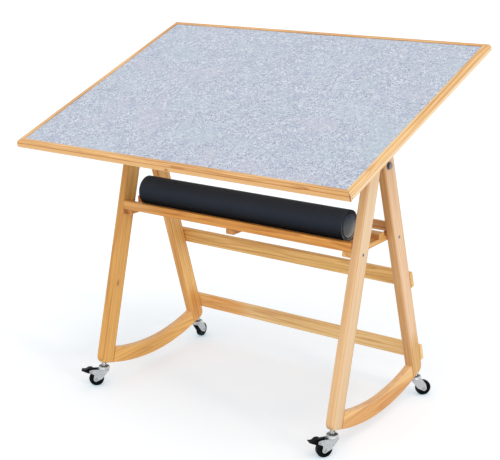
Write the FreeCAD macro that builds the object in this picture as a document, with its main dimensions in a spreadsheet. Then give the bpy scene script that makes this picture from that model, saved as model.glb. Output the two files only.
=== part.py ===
import FreeCAD, Part
import math
import os

import Sketcher
from FreeCAD import Vector

# Jigsaw puzzle table: a felt-faced tilting board on two A-shaped pine end frames,
# tied by two rear stretchers and a slatted shelf that carries a rolled cover mat.
# X runs along the board, Y towards the rear, Z up; the floor is z = 0.

doc = FreeCAD.newDocument("puzzle_table")

# Driving dimensions, millimetres and degrees
SIZES = {
    # board and its moulded frame
    "board_length": 930.0, "board_depth": 650.0, "board_tilt": 19.5, "board_offset": -3.4,
    "rail_face": 15.0, "rail_height": 19.0, "rail_ledge": 8.0, "rail_chamfer": 2.5,
    "rail_step": 1.2, "rail_step_drop": 8.0, "rail_bead": 5.0, "rail_vee": 0.8,
    "felt_thick": 2.0, "felt_recess": 1.0, "panel_thick": 7.0, "panel_gap": 0.3,
    # end frames
    "frame_centre_x": 344.0, "leg_width": 46.0, "leg_thick": 20.0, "leg_round": 4.0,
    "stance": 187.5, "foot_height": 60.0, "pivot_height": 727.0, "foot_corner": 18.0,
    "curve_low_height": 28.0, "curve_width": 40.0,
    # stretchers and shelf
    "stretcher_width": 40.0, "stretcher_thick": 12.0, "stretcher_round": 2.0,
    "upper_stretcher_height": 310.0, "lower_stretcher_height": 105.0,
    "shelf_height": 447.0, "shelf_rail_thick": 12.0, "shelf_rail_height": 22.0,
    "shelf_round": 2.0, "slat_width": 24.0, "slat_thick": 12.0, "shelf_reach": 98.0,
    "cradle_gap": 43.0, "slat_front": 22.0, "wood_gap": 0.2,
    # rolled mat
    "mat_bore_radius": 26.5, "mat_thick": 1.9, "mat_pitch": 2.4, "mat_length": 590.0,
    "mat_shift": 14.8, "mat_end_angle": 12.0, "soft_gap": 0.3,
    # tilt hardware
    "pivot_nose": 24.0, "cleat_thick": 20.0, "cleat_length": 420.0, "cleat_depth": 15.0,
    "cleat_boss": 20.0, "cleat_shoulder": 60.0, "quadrant_thick": 3.0,
    "quadrant_boss": 20.0, "quadrant_margin": 12.0, "slot_width": 8.4,
    "clamp_angle": 76.2, "clamp_radius": 109.0, "slot_middle_angle": 98.7,
    "slot_half_angle": 22.8, "fan_extra_angle": 9.0, "plate_gap": 0.3,
    "bolt_diameter": 8.0, "bolt_gap": 0.1, "bolt_head": 19.0, "bolt_head_thick": 4.5,
    "washer_diameter": 19.0, "washer_thick": 1.6, "nut_width": 13.0, "nut_thick": 6.5,
    "knob_diameter": 42.0, "knob_thick": 20.0, "knob_lobe": 9.0,
    # screws
    "screw_diameter": 4.0, "screw_head": 7.6, "screw_head_thick": 2.6, "screw_gap": 0.05,
    "screw_length": 30.0, "pin_diameter": 2.4, "pin_length": 24.0, "pin_inset": 7.0,
    "hex_head": 9.0, "hex_socket": 4.0, "socket_depth": 3.0, "shelf_bolt_length": 42.0,
    # casters
    "wheel_diameter": 38.0, "wheel_width": 14.0, "wheel_crown": 2.0, "hub_diameter": 16.0,
    "hub_width": 15.6, "web_inset": 2.2, "tread_depth": 7.0, "trail": 20.0,
    "fork_width": 19.4, "fork_plate": 1.5, "fork_top": 44.5, "fork_top_plate": 2.5,
    "race_radius": 15.0, "race_height": 3.4, "race_gap": 0.4, "cap_height": 7.4,
    "cap_radius": 14.3, "cap_rim": 3.0, "cap_dish": 1.8, "collar_diameter": 13.0,
    "stem_shift": 4.5, "axle_diameter": 5.0, "axle_gap": 0.08, "rivet_head": 8.0,
    "rivet_thick": 1.4, "eye_radius": 7.0, "caster_pin": 7.0, "stem_length": 28.0,
    "stem_gap": 0.1, "ear_reach": 32.0, "ear_height": 39.5, "ear_radius": 4.5,
    "brake_pin": 4.0, "pedal_width": 15.4, "pedal_reach": 23.0, "cam_reach": 5.0,
    "cam_drop": 5.4, "pedal_heel": 10.0,
    "fork_back": 13.0, "fork_shoulder": 2.5, "fork_heel": 4.5, "fork_heel_height": 20.0,
    "fork_notch": 24.5, "fork_notch_height": 30.5, "fork_front": 14.0,
    "pedal_hub": 4.3, "pedal_hump": 9.0,
    "cleat_screw_length": 20.0, "plate_screw_length": 16.0, "plate_screw_spread": 13.0,
    "plate_screw_rise": 4.0,
    "front_left_turn": 217.5, "front_right_turn": 234.5, "rear_left_turn": 98.2,
    "rear_right_turn": 48.4,
    "overrun": 5.0,
}
# Counts, and places given as shares of the piece they lie on
KNOB_LOBES = 6
MAT_HALF_TURNS = 8
GAP_STEPS = 24
HALF_DIAGONAL_SHARE = math.sqrt(0.5)
CORNER_SHARE = 1 - HALF_DIAGONAL_SHARE
CLEAT_SCREW_SHARES = (-0.86, -0.45, 0.45, 0.86)
# a brake pedal's outline round its tip and over its top: shares of its reach and hump
PEDAL_SHARES = ((1, 0.2), (1.1, 0.38), (1.07, 0.52), (0.86, 0.4), (0.62, 0.5), (0.42, 0.9),
                (0.15, 1), (-0.08, 0.85))

sheet = doc.addObject("Spreadsheet::Sheet", "Sizes")
for row, (alias, value) in enumerate(SIZES.items(), start=1):
    sheet.set("A%d" % row, alias)
    sheet.set("B%d" % row, str(value))
    sheet.setAlias("B%d" % row, alias)
worked = doc.addObject("Spreadsheet::Sheet", "Worked")
doc.recompute()


class Size:
    """A value together with the sheet expression that gives it."""

    def __init__(self, value, text):
        self.value = float(value)
        self.text = text

    def __add__(self, other):
        other = size(other)
        return Size(self.value + other.value, "(%s + %s)" % (self.text, other.text))

    def __radd__(self, other):
        return size(other) + self

    def __sub__(self, other):
        other = size(other)
        return Size(self.value - other.value, "(%s - %s)" % (self.text, other.text))

    def __rsub__(self, other):
        return size(other) - self

    def __mul__(self, other):
        other = size(other)
        return Size(self.value * other.value, "(%s * %s)" % (self.text, other.text))

    def __rmul__(self, other):
        return size(other) * self

    def __truediv__(self, other):
        other = size(other)
        return Size(self.value / other.value, "(%s / %s)" % (self.text, other.text))

    def __neg__(self):
        return Size(-self.value, "(0 - %s)" % self.text)


def size(number):
    return number if isinstance(number, Size) else Size(number, repr(float(number)))


def root(square):
    return Size(math.sqrt(square.value), "sqrt(%s)" % square.text)


def sine(degrees):
    return Size(math.sin(math.radians(degrees.value)), "sin(%s)" % degrees.text)


def cosine(degrees):
    return Size(math.cos(math.radians(degrees.value)), "cos(%s)" % degrees.text)


def arctan(ratio):
    return Size(math.degrees(math.atan(ratio.value)), "atan(%s)" % ratio.text)


S = {alias: Size(value, "Sizes.%s" % alias) for alias, value in SIZES.items()}
ZERO = size(0)
worked_rows = []


def named(alias, result):
    """Keep a worked-out size as its own cell, so that later ones stay short."""
    worked_rows.append(alias)
    cell = "B%d" % len(worked_rows)
    worked.set("A%d" % len(worked_rows), alias)
    worked.set(cell, "=" + result.text)
    worked.setAlias(cell, alias)
    return Size(result.value, "Worked.%s" % alias)


# Sizes worked out from the driving ones
leg_rise = named("leg_rise", S["pivot_height"] - S["foot_height"])
leg_run = named("leg_run", root(S["stance"] * S["stance"] + leg_rise * leg_rise))
lean_sine = named("lean_sine", S["stance"] / leg_run)
lean_cosine = named("lean_cosine", leg_rise / leg_run)
lean = arctan(S["stance"] / leg_rise)
half_width = named("half_width", S["leg_width"] / 2)
half_thick = named("half_thick", S["leg_thick"] / 2)
inner_face = named("inner_face", S["frame_centre_x"] - half_thick)
outer_face = named("outer_face", S["frame_centre_x"] + half_thick)
tilt_sine = named("tilt_sine", sine(S["board_tilt"]))
tilt_cosine = named("tilt_cosine", cosine(S["board_tilt"]))
board_low = named("board_low", S["pivot_nose"] - (S["rail_height"] - S["felt_recess"]
                  - S["felt_thick"] - S["panel_thick"]))
board_top = named("board_top", board_low + S["rail_height"])
half_length = named("half_length", S["board_length"] / 2)
half_depth = named("half_depth", S["board_depth"] / 2)
# The board's lowest and highest edges set where the frames stand, so that the
# table's outline is centred on the origin.
front_edge = (S["board_offset"] - half_depth) * tilt_cosine \
    - (board_top - S["rail_step_drop"]) * tilt_sine
rear_edge = (S["board_offset"] + half_depth) * tilt_cosine \
    - (board_low + S["rail_chamfer"]) * tilt_sine
apex_y = named("apex_y", (front_edge + rear_edge) / -2)
# A caster's stem stands a little outwards of its leg's middle line.
stem_reach = named("stem_reach", S["stance"] + S["stem_shift"])

parts = []


def turn(axis, degrees):
    vectors = {"x": "vector(1; 0; 0)", "y": "vector(0; 1; 0)", "z": "vector(0; 0; 1)"}
    return "rotation(%s; %s)" % (vectors[axis], size(degrees).text)


def at(x, y, z, axis="z", degrees=0):
    place = (size(x).text, size(y).text, size(z).text, turn(axis, degrees))
    return "placement(vector(%s; %s; %s); %s)" % place


HERE = at(0, 0, 0)
BOARD = at(0, apex_y, S["pivot_height"], "x", S["board_tilt"])
FRONT = -1
REAR = 1
LEFT = -1
RIGHT = 1
SIDE_NAMES = {LEFT: "left", RIGHT: "right"}


def leg_frame(side, end):
    """A leg's own frame: origin at its foot, local Z up along the leg."""
    return at(S["frame_centre_x"] * side, apex_y + S["stance"] * end, S["foot_height"],
              "x", lean * end)


def keep(thing, label):
    """Name a finished piece, which is written to its own file."""
    thing.Label = label
    parts.append(thing)
    return thing


def body(name, place=HERE):
    made = doc.addObject("PartDesign::Body", name)
    made.setExpression("Placement", place)
    return made


def sketch(owner, role, offset=ZERO):
    drawing = owner.newObject("Sketcher::SketchObject", owner.Name + "_sketch")
    plane = next(f for f in owner.Origin.OriginFeatures if f.Role == role)
    drawing.AttachmentSupport = [(plane, "")]
    drawing.MapMode = "FlatFace"
    if offset is not ZERO:
        drawing.setExpression("AttachmentOffset", at(0, 0, offset))
    return drawing


def fix(drawing, kind, refs, amount):
    index = drawing.addConstraint(Sketcher.Constraint(kind, *refs, amount.value))
    if "Sizes" in amount.text or "Worked" in amount.text:
        drawing.setExpression("Constraints[%d]" % index, amount.text)


def point(x, y, through=None, centre=None):
    """A corner; with a centre, the edge that ends there is an arc round it."""
    if through is None:
        return size(x), size(y), None, None
    middle = Vector(size(through[0]).value, size(through[1]).value, 0)
    return size(x), size(y), middle, (size(centre[0]), size(centre[1]))


def draw(drawing, path):
    """A closed outline through the points, each fixed by its sizes."""
    edges = []
    for index, (x, y, middle, centre) in enumerate(path):
        start = Vector(path[index - 1][0].value, path[index - 1][1].value, 0)
        end = Vector(x.value, y.value, 0)
        if middle is None:
            edges.append((drawing.addGeometry(Part.LineSegment(start, end)), 1, 2))
            continue
        curve = drawing.addGeometry(Part.Arc(start, middle, end))
        first = drawing.getPoint(curve, 1)
        forward = (first - start).Length < (first - end).Length
        edges.append((curve, 1, 2) if forward else (curve, 2, 1))
    for index, (curve, begin, end) in enumerate(edges):
        after = edges[(index + 1) % len(edges)]
        drawing.addConstraint(Sketcher.Constraint("Coincident", curve, end,
                                                  after[0], after[1]))
    for index, (x, y, middle, centre) in enumerate(path):
        curve, begin, end = edges[index]
        fix(drawing, "DistanceX", (-1, 1, curve, end), x)
        fix(drawing, "DistanceY", (-1, 1, curve, end), y)
        if middle is None:
            continue
        before = path[index - 1]
        wide = abs(before[0].value - x.value) >= abs(before[1].value - y.value)
        if wide:
            fix(drawing, "DistanceY", (-1, 1, curve, 3), centre[1])
        else:
            fix(drawing, "DistanceX", (-1, 1, curve, 3), centre[0])
    return drawing


def circle(drawing, x, y, diameter):
    x, y = size(x), size(y)
    centre = Vector(x.value, y.value, 0)
    curve = drawing.addGeometry(Part.Circle(centre, Vector(0, 0, 1), diameter.value / 2))
    fix(drawing, "DistanceX", (-1, 1, curve, 3), x)
    fix(drawing, "DistanceY", (-1, 1, curve, 3), y)
    fix(drawing, "Diameter", (curve,), diameter)
    return drawing


def pad(owner, drawing, length, both=True):
    feature = owner.newObject("PartDesign::Pad", owner.Name + "_pad")
    feature.Profile = drawing
    feature.setExpression("Length", length.text)
    feature.SideType = "Symmetric" if both else "One side"
    doc.recompute()
    return feature


def pocket(owner, drawing, reverse=False, both=True):
    """Cut right through, to both sides of the sketch or to one."""
    before = owner.Shape.Volume
    feature = owner.newObject("PartDesign::Pocket", owner.Name + "_pocket")
    feature.Profile = drawing
    feature.Type = "ThroughAll"
    if both:
        feature.Midplane = True
    feature.Reversed = reverse
    doc.recompute()
    if feature.Shape.Volume >= before:
        raise ValueError("a pocket in %s cuts nothing" % owner.Name)
    return feature


def spin(owner, drawing):
    """Turn a half outline round the sketch's upright axis."""
    feature = owner.newObject("PartDesign::Revolution", owner.Name + "_turned")
    feature.Profile = drawing
    feature.ReferenceAxis = (drawing, ["V_Axis"])
    feature.Angle = 360
    doc.recompute()
    return feature


def soften(owner, feature, names, radius):
    fillet = owner.newObject("PartDesign::Fillet", owner.Name + "_round")
    fillet.Base = (feature, names)
    fillet.setExpression("Radius", radius.text)
    doc.recompute()
    return fillet


def faces_facing(shape, direction):
    """Names of the flat faces square to a direction."""
    names = []
    for index, face in enumerate(shape.Faces, start=1):
        if face.Surface.TypeId != "Part::GeomPlane":
            continue
        if abs(abs(face.Surface.Axis.dot(direction)) - 1) < 1e-6:
            names.append("Face%d" % index)
    return names


def edges_along(shape, direction):
    """Names of the straight edges that run in a direction."""
    names = []
    for index, edge in enumerate(shape.Edges, start=1):
        if edge.Curve.TypeId != "Part::GeomLine":
            continue
        if abs(abs(edge.Curve.Direction.dot(direction)) - 1) < 1e-6:
            names.append("Edge%d" % index)
    return names


def rod(name, place, diameter, length):
    """A cylinder along the local Z of its place."""
    made = doc.addObject("Part::Cylinder", name)
    made.setExpression("Radius", (diameter / 2).text)
    made.setExpression("Height", length.text)
    made.setExpression("Placement", place)
    return made


def taper(name, place, low, high, length):
    made = doc.addObject("Part::Cone", name)
    made.setExpression("Radius1", (low / 2).text)
    made.setExpression("Radius2", (high / 2).text)
    made.setExpression("Height", length.text)
    made.setExpression("Placement", place)
    return made


def hexagon(name, place, across, length):
    made = doc.addObject("Part::Prism", name)
    made.Polygon = 6
    made.setExpression("Circumradius", (across / root(size(3))).text)
    made.setExpression("Height", length.text)
    made.setExpression("Placement", place)
    return made


def fused(name, pieces):
    made = doc.addObject("Part::MultiFuse", name)
    made.Shapes = pieces
    made.Refine = True
    return made


def cut(name, base, tools):
    """The base less its tools; the last cut of a piece is the piece."""
    tool = tools[0]
    if len(tools) > 1:
        tool = doc.addObject("Part::Compound", name + "_tools")
        tool.Links = tools
    made = doc.addObject("Part::Cut", name)
    made.Base = base
    made.Tool = tool
    doc.recompute()
    if made.Shape.Volume >= base.Shape.Volume:
        raise ValueError("nothing is cut from %s" % name)
    return made


def group(label, pieces):
    made = doc.addObject("Part::Compound", label + "_group")
    made.Links = pieces
    return keep(made, label)


# Screws and their holes
def screw(name, place, length):
    """A countersunk wood screw; its head is flush at the place and it runs along Z."""
    head = taper(name + "_head", place, S["screw_head"], S["screw_diameter"],
                 S["screw_head_thick"])
    shank = rod(name + "_shank", place, S["screw_diameter"], length)
    return fused(name, [head, shank])


def screw_hole(name, place, length):
    gap = 2 * S["screw_gap"]
    head = taper(name + "_sink", place, S["screw_head"] + gap, S["screw_diameter"] + gap,
                 S["screw_head_thick"])
    shank = rod(name + "_bore", place, S["screw_diameter"] + gap,
                length + S["screw_gap"])
    return fused(name, [head, shank])


def screwed(prefix, places, length):
    """Screws at several places, and matching holes for the wood."""
    screws = []
    holes = []
    for index, place in enumerate(places):
        screws.append(screw("%s_%d" % (prefix, index), place, length))
        holes.append(screw_hole("%s_hole_%d" % (prefix, index), place, length))
    return screws, holes


# Board: panel, felt, moulded rails
def slab(name, low, thickness):
    made = body(name, BOARD)
    drawing = sketch(made, "XY_Plane", low)
    x = half_length - S["rail_face"] - S["panel_gap"]
    y = half_depth - S["rail_face"] - S["panel_gap"]
    near = S["board_offset"] - y
    far = S["board_offset"] + y
    draw(drawing, [point(-x, near), point(x, near), point(x, far), point(-x, far)])
    pad(made, drawing, thickness, both=False)
    return made


def moulded_rail(name, quarter_turns, length, reach):
    """A frame rail in the board's plane, its outer face reach from the centre."""
    place = "%s * %s * %s" % (BOARD, at(0, S["board_offset"], 0),
                              at(0, 0, 0, "z", 90 * quarter_turns))
    made = body(name, place)
    drawing = sketch(made, "YZ_Plane")
    face = named(name + "_face", -reach)
    inner = face + S["rail_face"]
    ledge_top = S["pivot_nose"]
    step = face + S["rail_step"]
    bead_low = board_top - S["rail_bead"]
    bead_end = step + S["rail_bead"]
    bead_cut = S["rail_bead"] * CORNER_SHARE
    bead_mid = (step + bead_cut, board_top - bead_cut)
    vee = S["rail_vee"]
    draw(drawing, [
        point(face + S["rail_chamfer"], board_low),
        point(inner + S["rail_ledge"], board_low),
        point(inner + S["rail_ledge"], ledge_top),
        point(inner, ledge_top),
        point(inner, board_top),
        point(bead_end + 2 * vee, board_top),
        point(bead_end + vee, board_top - vee),
        point(bead_end, board_top),
        point(step, bead_low, bead_mid, (bead_end, bead_low)),
        point(step, board_top - S["rail_step_drop"] + S["rail_step"]),
        point(face, board_top - S["rail_step_drop"]),
        point(face, board_low + S["rail_chamfer"]),
    ])
    pad(made, drawing, length)
    mitres = sketch(made, "XY_Plane")
    over = S["overrun"]
    depth = S["rail_face"] + S["rail_ledge"] + over
    half = length / 2
    for side in (LEFT, RIGHT):
        draw(mitres, [point((half + over) * side, face - over),
                      point((half - depth) * side, face + depth),
                      point((half + over) * side, face + depth)])
    pocket(made, mitres)
    return made


def build_board(panel_holes):
    panel = slab("board_panel_slab", S["pivot_nose"], S["panel_thick"])
    keep(cut("board_panel_bored", panel, panel_holes), "board_panel")
    felt_low = S["pivot_nose"] + S["panel_thick"] + S["soft_gap"]
    keep(slab("felt_slab", felt_low, S["felt_thick"] - S["soft_gap"]), "felt_sheet")
    rails = {
        "front": moulded_rail("front_rail", 0, S["board_length"], half_depth),
        "right": moulded_rail("right_rail", 1, S["board_depth"], half_length),
        "back": moulded_rail("back_rail", 2, S["board_length"], half_depth),
        "left": moulded_rail("left_rail", 3, S["board_depth"], half_length),
    }
    pins = []
    bores = {key: [] for key in rails}
    middle = board_low + S["rail_height"] / 3
    for side in (LEFT, RIGHT):
        for end, rail in ((FRONT, "front"), (REAR, "back")):
            name = "corner_pin_%s_%s" % (SIDE_NAMES[side], rail)
            place = "%s * %s" % (BOARD, at(half_length * side, S["board_offset"]
                                 + (half_depth - S["pin_inset"]) * end,
                                 middle, "y", -90 * side))
            pins.append(rod(name, place, S["pin_diameter"], S["pin_length"]))
            for key in (rail, SIDE_NAMES[side]):
                bores[key].append(rod(name + "_bore_" + key, place,
                                  S["pin_diameter"] + 2 * S["screw_gap"],
                                  S["pin_length"] + S["screw_gap"]))
    for key, rail in rails.items():
        keep(cut("rail_%s_bored" % key, rail, bores[key]), "frame_rail_" + key)
    group("corner_pins", pins)


# End frames
def leg(side, end):
    """One leg: straight sides, a round nose on the board's pivot, a rounded toe."""
    name = "%s_leg_%s" % ("front" if end == FRONT else "rear", SIDE_NAMES[side])
    made = body(name + "_body", leg_frame(side, end))
    drawing = sketch(made, "YZ_Plane")
    out = half_width * end
    corner = S["foot_corner"]
    toe = (out - corner * CORNER_SHARE * end, corner * CORNER_SHARE)
    draw(drawing, [
        point(-out, 0),
        point(out - corner * end, 0),
        point(out, corner, toe, (out - corner * end, corner)),
        point(out, leg_run),
        point(-out, leg_run, (ZERO, leg_run + half_width), (ZERO, leg_run)),
    ])
    solid = pad(made, drawing, S["leg_thick"])
    sides = faces_facing(solid.Shape, Vector(1, 0, 0))
    soften(made, solid, sides, S["leg_round"])
    # half lap: the front leg gives up its outer half, the rear leg its inner half
    lap = sketch(made, "YZ_Plane")
    twice_sine = 2 * lean_sine * lean_cosine
    twice_cosine = lean_cosine * lean_cosine - lean_sine * lean_sine
    across = (half_width * twice_cosine, half_width * twice_sine * -end)
    down = S["leg_width"] * 3
    up = S["leg_width"]
    along = (twice_sine * -end, -twice_cosine)
    corners = []
    for edge, reach in ((-1, -up), (1, -up), (1, down), (-1, down)):
        corners.append(point(across[0] * edge + along[0] * reach,
                             leg_run + across[1] * edge + along[1] * reach))
    draw(lap, corners)
    pocket(made, lap, reverse=(side == RIGHT) == (end == FRONT), both=False)
    return name, made


def curved_rail(side):
    """The bowed foot rail between the two legs of a frame."""
    made = body("curved_rail_%s_body" % SIDE_NAMES[side],
                at(S["frame_centre_x"] * side, apex_y, 0))
    heel_y = named("heel_y_" + SIDE_NAMES[side], S["stance"] - half_width * lean_cosine)
    heel_z = named("heel_z_" + SIDE_NAMES[side], S["foot_height"] - half_width * lean_sine)
    sag = heel_z - S["curve_low_height"]
    radius = named("curve_radius_" + SIDE_NAMES[side], (heel_y * heel_y + sag * sag) / (2 * sag))
    centre = named("curve_centre_" + SIDE_NAMES[side], S["curve_low_height"] + radius)
    inner = radius - S["curve_width"]
    wide = heel_y + half_width
    low = centre - root(radius * radius - wide * wide)
    high = centre - root(inner * inner - wide * wide)
    drawing = sketch(made, "YZ_Plane")
    draw(drawing, [
        point(-wide, low),
        point(wide, low, (ZERO, S["curve_low_height"]), (ZERO, centre)),
        point(wide, high),
        point(-wide, high, (ZERO, S["curve_low_height"] + S["curve_width"]), (ZERO, centre)),
    ])
    solid = pad(made, drawing, S["leg_thick"])
    long_edges = [name for index, name in enumerate(
        "Edge%d" % n for n in range(1, len(solid.Shape.Edges) + 1))
        if solid.Shape.Edges[index].Curve.TypeId == "Part::GeomCircle"]
    soften(made, solid, long_edges, S["leg_round"])
    ends = sketch(made, "YZ_Plane")
    reach = S["curve_width"] * 2
    for end in (FRONT, REAR):
        base = (heel_y * end, heel_z)
        slope = (lean_sine * -end, lean_cosine)
        away = (S["leg_width"] * 2 * lean_cosine * end, S["leg_width"] * 2 * lean_sine)
        corners = []
        for step, move in ((-1, 0), (1, 0), (1, 1), (-1, 1)):
            corners.append(point(base[0] + slope[0] * reach * step + away[0] * move,
                                 base[1] + slope[1] * reach * step + away[1] * move))
        draw(ends, corners)
    pocket(made, ends)
    return keep(made, "curved_rail_" + SIDE_NAMES[side])


def shelf_bolt_place(side, end):
    """Where a shelf bolt enters the outer face of a leg, on the leg's middle line."""
    height = S["shelf_height"] - S["slat_thick"] / 2
    y = (S["pivot_height"] - height) * S["stance"] / leg_rise
    return at(outer_face * side, apex_y + y * end, height, "y", -90 * side)


def clamp_place(side, offset, flip=1):
    """A place on the clamp bolt's axis, offset outwards from a leg's outer face."""
    y = S["clamp_radius"] * cosine(S["clamp_angle"])
    z = S["clamp_radius"] * sine(S["clamp_angle"])
    return at((outer_face + offset) * side, apex_y + y, S["pivot_height"] - z,
              "y", -90 * side * flip)


def pivot_place(side, offset):
    return at((outer_face + offset) * side, apex_y, S["pivot_height"], "y", -90 * side)


def build_frames():
    bolt_bore = S["bolt_diameter"] + 2 * S["bolt_gap"]
    through = S["leg_thick"] + 2 * S["overrun"]
    shelf_bolts = []
    for side in (LEFT, RIGHT):
        for end in (FRONT, REAR):
            name, made = leg(side, end)
            bores = [rod(name + "_pivot_bore", pivot_place(side, S["overrun"]),
                         bolt_bore, through)]
            place = shelf_bolt_place(side, end)
            bores.append(rod(name + "_shelf_sink", place,
                             S["hex_head"] + 2 * S["screw_gap"], S["socket_depth"] + S["screw_gap"]))
            bores.append(rod(name + "_shelf_bore", place,
                             S["screw_diameter"] + 2 * S["screw_gap"],
                             S["leg_thick"] + S["overrun"]))
            bores.append(rod(name + "_stem_bore",
                             at(S["frame_centre_x"] * side, apex_y + stem_reach * end,
                                S["foot_height"] - S["overrun"] * 3),
                             S["bolt_diameter"] + 2 * S["stem_gap"],
                             S["stem_length"] + S["overrun"] * 3 + S["stem_gap"]))
            if end == REAR:
                bores.append(rod(name + "_clamp_bore", clamp_place(side, S["overrun"]),
                                 bolt_bore, through))
                bores.extend(stretcher_holes[side])
            keep(cut(name + "_bored", made, bores), name)
            head = rod(name + "_bolt_head", place, S["hex_head"], S["socket_depth"])
            shank = rod(name + "_bolt_shank", place, S["screw_diameter"],
                        S["shelf_bolt_length"])
            socket = hexagon(name + "_bolt_socket", place, S["hex_socket"],
                             S["socket_depth"] - S["screw_gap"] * 10)
            shelf_bolts.append(cut(name + "_bolt", fused(name + "_bolt_blank",
                                   [head, shank]), [socket]))
        curved_rail(side)
    group("shelf_bolts", shelf_bolts)


# Rear stretchers, screwed to the back edges of the rear legs
stretcher_holes = {LEFT: [], RIGHT: []}


def stretcher(label, height):
    rear = at(0, apex_y + S["stance"], S["foot_height"], "x", lean)
    made = body(label + "_body", rear)
    middle = (height - S["foot_height"]) / lean_cosine
    drawing = sketch(made, "YZ_Plane")
    near = half_width
    far = half_width + S["stretcher_thick"]
    low = middle - S["stretcher_width"] / 2
    high = middle + S["stretcher_width"] / 2
    draw(drawing, [point(near, low), point(far, low), point(far, high), point(near, high)])
    solid = pad(made, drawing, outer_face * 2)
    long_edges = edges_along(solid.Shape, Vector(1, 0, 0))
    soften(made, solid, long_edges, S["stretcher_round"])
    places = {LEFT: [], RIGHT: []}
    for side in (LEFT, RIGHT):
        for step in (-1, 1):
            place = "%s * %s" % (rear, at(S["frame_centre_x"] * side, far,
                                 middle + S["stretcher_width"] / 4 * step, "x", 90))
            places[side].append(place)
    screws = []
    holes = []
    for side in (LEFT, RIGHT):
        made_here, holes_here = screwed("%s_screw_%s" % (label, SIDE_NAMES[side]),
                                        places[side], S["screw_length"])
        screws.extend(made_here)
        holes.extend(holes_here)
        stretcher_holes[side].extend(holes_here)
    keep(cut(label + "_bored", made, holes), label)
    return screws


def build_stretchers():
    screws = stretcher("upper_stretcher", S["upper_stretcher_height"])
    screws += stretcher("lower_stretcher", S["lower_stretcher_height"])
    group("stretcher_screws", screws)


# Shelf: cross battens, a cradle of two rails for the mat, a flat slat, a back rail
def shelf_bar(name, front, width, low, height):
    """A bar along X from its front face and underside."""
    made = body(name + "_bar", at(0, apex_y, 0))
    drawing = sketch(made, "YZ_Plane")
    draw(drawing, [point(front, low), point(front + width, low),
                   point(front + width, low + height), point(front, low + height)])
    solid = pad(made, drawing, (inner_face - S["wood_gap"]) * 2)
    soften(made, solid, edges_along(solid.Shape, Vector(1, 0, 0)), S["shelf_round"])
    return made


def batten(name, centre):
    made = body(name + "_bar", at(centre, apex_y, 0))
    drawing = sketch(made, "YZ_Plane")
    top = S["shelf_height"]
    low = top - S["slat_thick"]
    reach = S["shelf_reach"]
    draw(drawing, [point(-reach, low), point(reach, low), point(reach, top),
                   point(-reach, top)])
    solid = pad(made, drawing, S["slat_width"])
    soften(made, solid, edges_along(solid.Shape, Vector(0, 1, 0)), S["shelf_round"])
    return made


def build_shelf():
    thick = S["shelf_rail_thick"]
    tall = S["shelf_rail_height"]
    reach = S["shelf_reach"]
    bars = {
        "shelf_front_rail": (-reach, thick, tall),
        "shelf_cradle_rail": (thick + S["cradle_gap"] - reach, thick, tall),
        "shelf_slat": (S["slat_front"], S["slat_width"], S["slat_thick"]),
        "shelf_back_rail": (reach - thick, thick, tall),
    }
    end_x = inner_face - S["wood_gap"] - S["slat_width"] / 2
    battens = {"shelf_batten_left": -end_x, "shelf_batten_middle": ZERO,
               "shelf_batten_right": end_x}
    low = S["shelf_height"] - S["slat_thick"]
    length = S["slat_thick"] * 2 - S["overrun"] / 2
    screws = []
    bar_holes = {name: [] for name in bars}
    batten_holes = {name: [] for name in battens}
    for batten_name, x in battens.items():
        for bar_name, (front, width, height) in bars.items():
            place = at(x, apex_y + front + width / 2, low)
            made, holes = screwed("%s_%s" % (batten_name, bar_name), [place], length)
            screws += made
            bar_holes[bar_name] += holes
            batten_holes[batten_name] += holes
    for name, (front, width, height) in bars.items():
        bar = shelf_bar(name, front, width, S["shelf_height"], height)
        keep(cut(name + "_bored", bar, bar_holes[name]), name)
    for name, x in battens.items():
        bores = list(batten_holes[name])
        for side in (LEFT, RIGHT):
            if name.endswith(SIDE_NAMES[side]):
                for end in (FRONT, REAR):
                    bores.append(rod("%s_bolt_bore_%d" % (name, end),
                                     shelf_bolt_place(side, end),
                                     S["screw_diameter"] + 2 * S["screw_gap"],
                                     S["shelf_bolt_length"] + S["screw_gap"]))
        keep(cut(name + "_bored", batten(name, x), bores), name)
    group("shelf_screws", screws)


# Tilt hardware: pivot bolts, cleats, slotted quadrants, clamp bolts and knobs
plate_face = named("plate_face", inner_face - S["plate_gap"])
cleat_face = named("cleat_face", plate_face - S["quadrant_thick"])
cleat_back = named("cleat_back", cleat_face - S["cleat_thick"])


def cleat(side):
    name = "board_cleat_" + SIDE_NAMES[side]
    made = body(name + "_body", "%s * %s" % (
        BOARD, at((cleat_face - S["cleat_thick"] / 2) * side, 0, 0)))
    drawing = sketch(made, "YZ_Plane")
    top = S["pivot_nose"]
    low = top - S["cleat_depth"]
    half = S["cleat_length"] / 2
    boss = S["cleat_boss"]
    draw(drawing, [
        point(-half, top), point(-half, low), point(-S["cleat_shoulder"], low),
        point(-boss, 0), point(boss, 0, (ZERO, -boss), (ZERO, ZERO)),
        point(S["cleat_shoulder"], low), point(half, low), point(half, top),
    ])
    solid = pad(made, drawing, S["cleat_thick"])
    return name, made


def polar(radius, degrees):
    """A point of the quadrant, degrees measured downwards from the front."""
    return -radius * cosine(degrees), -radius * sine(degrees)


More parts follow.
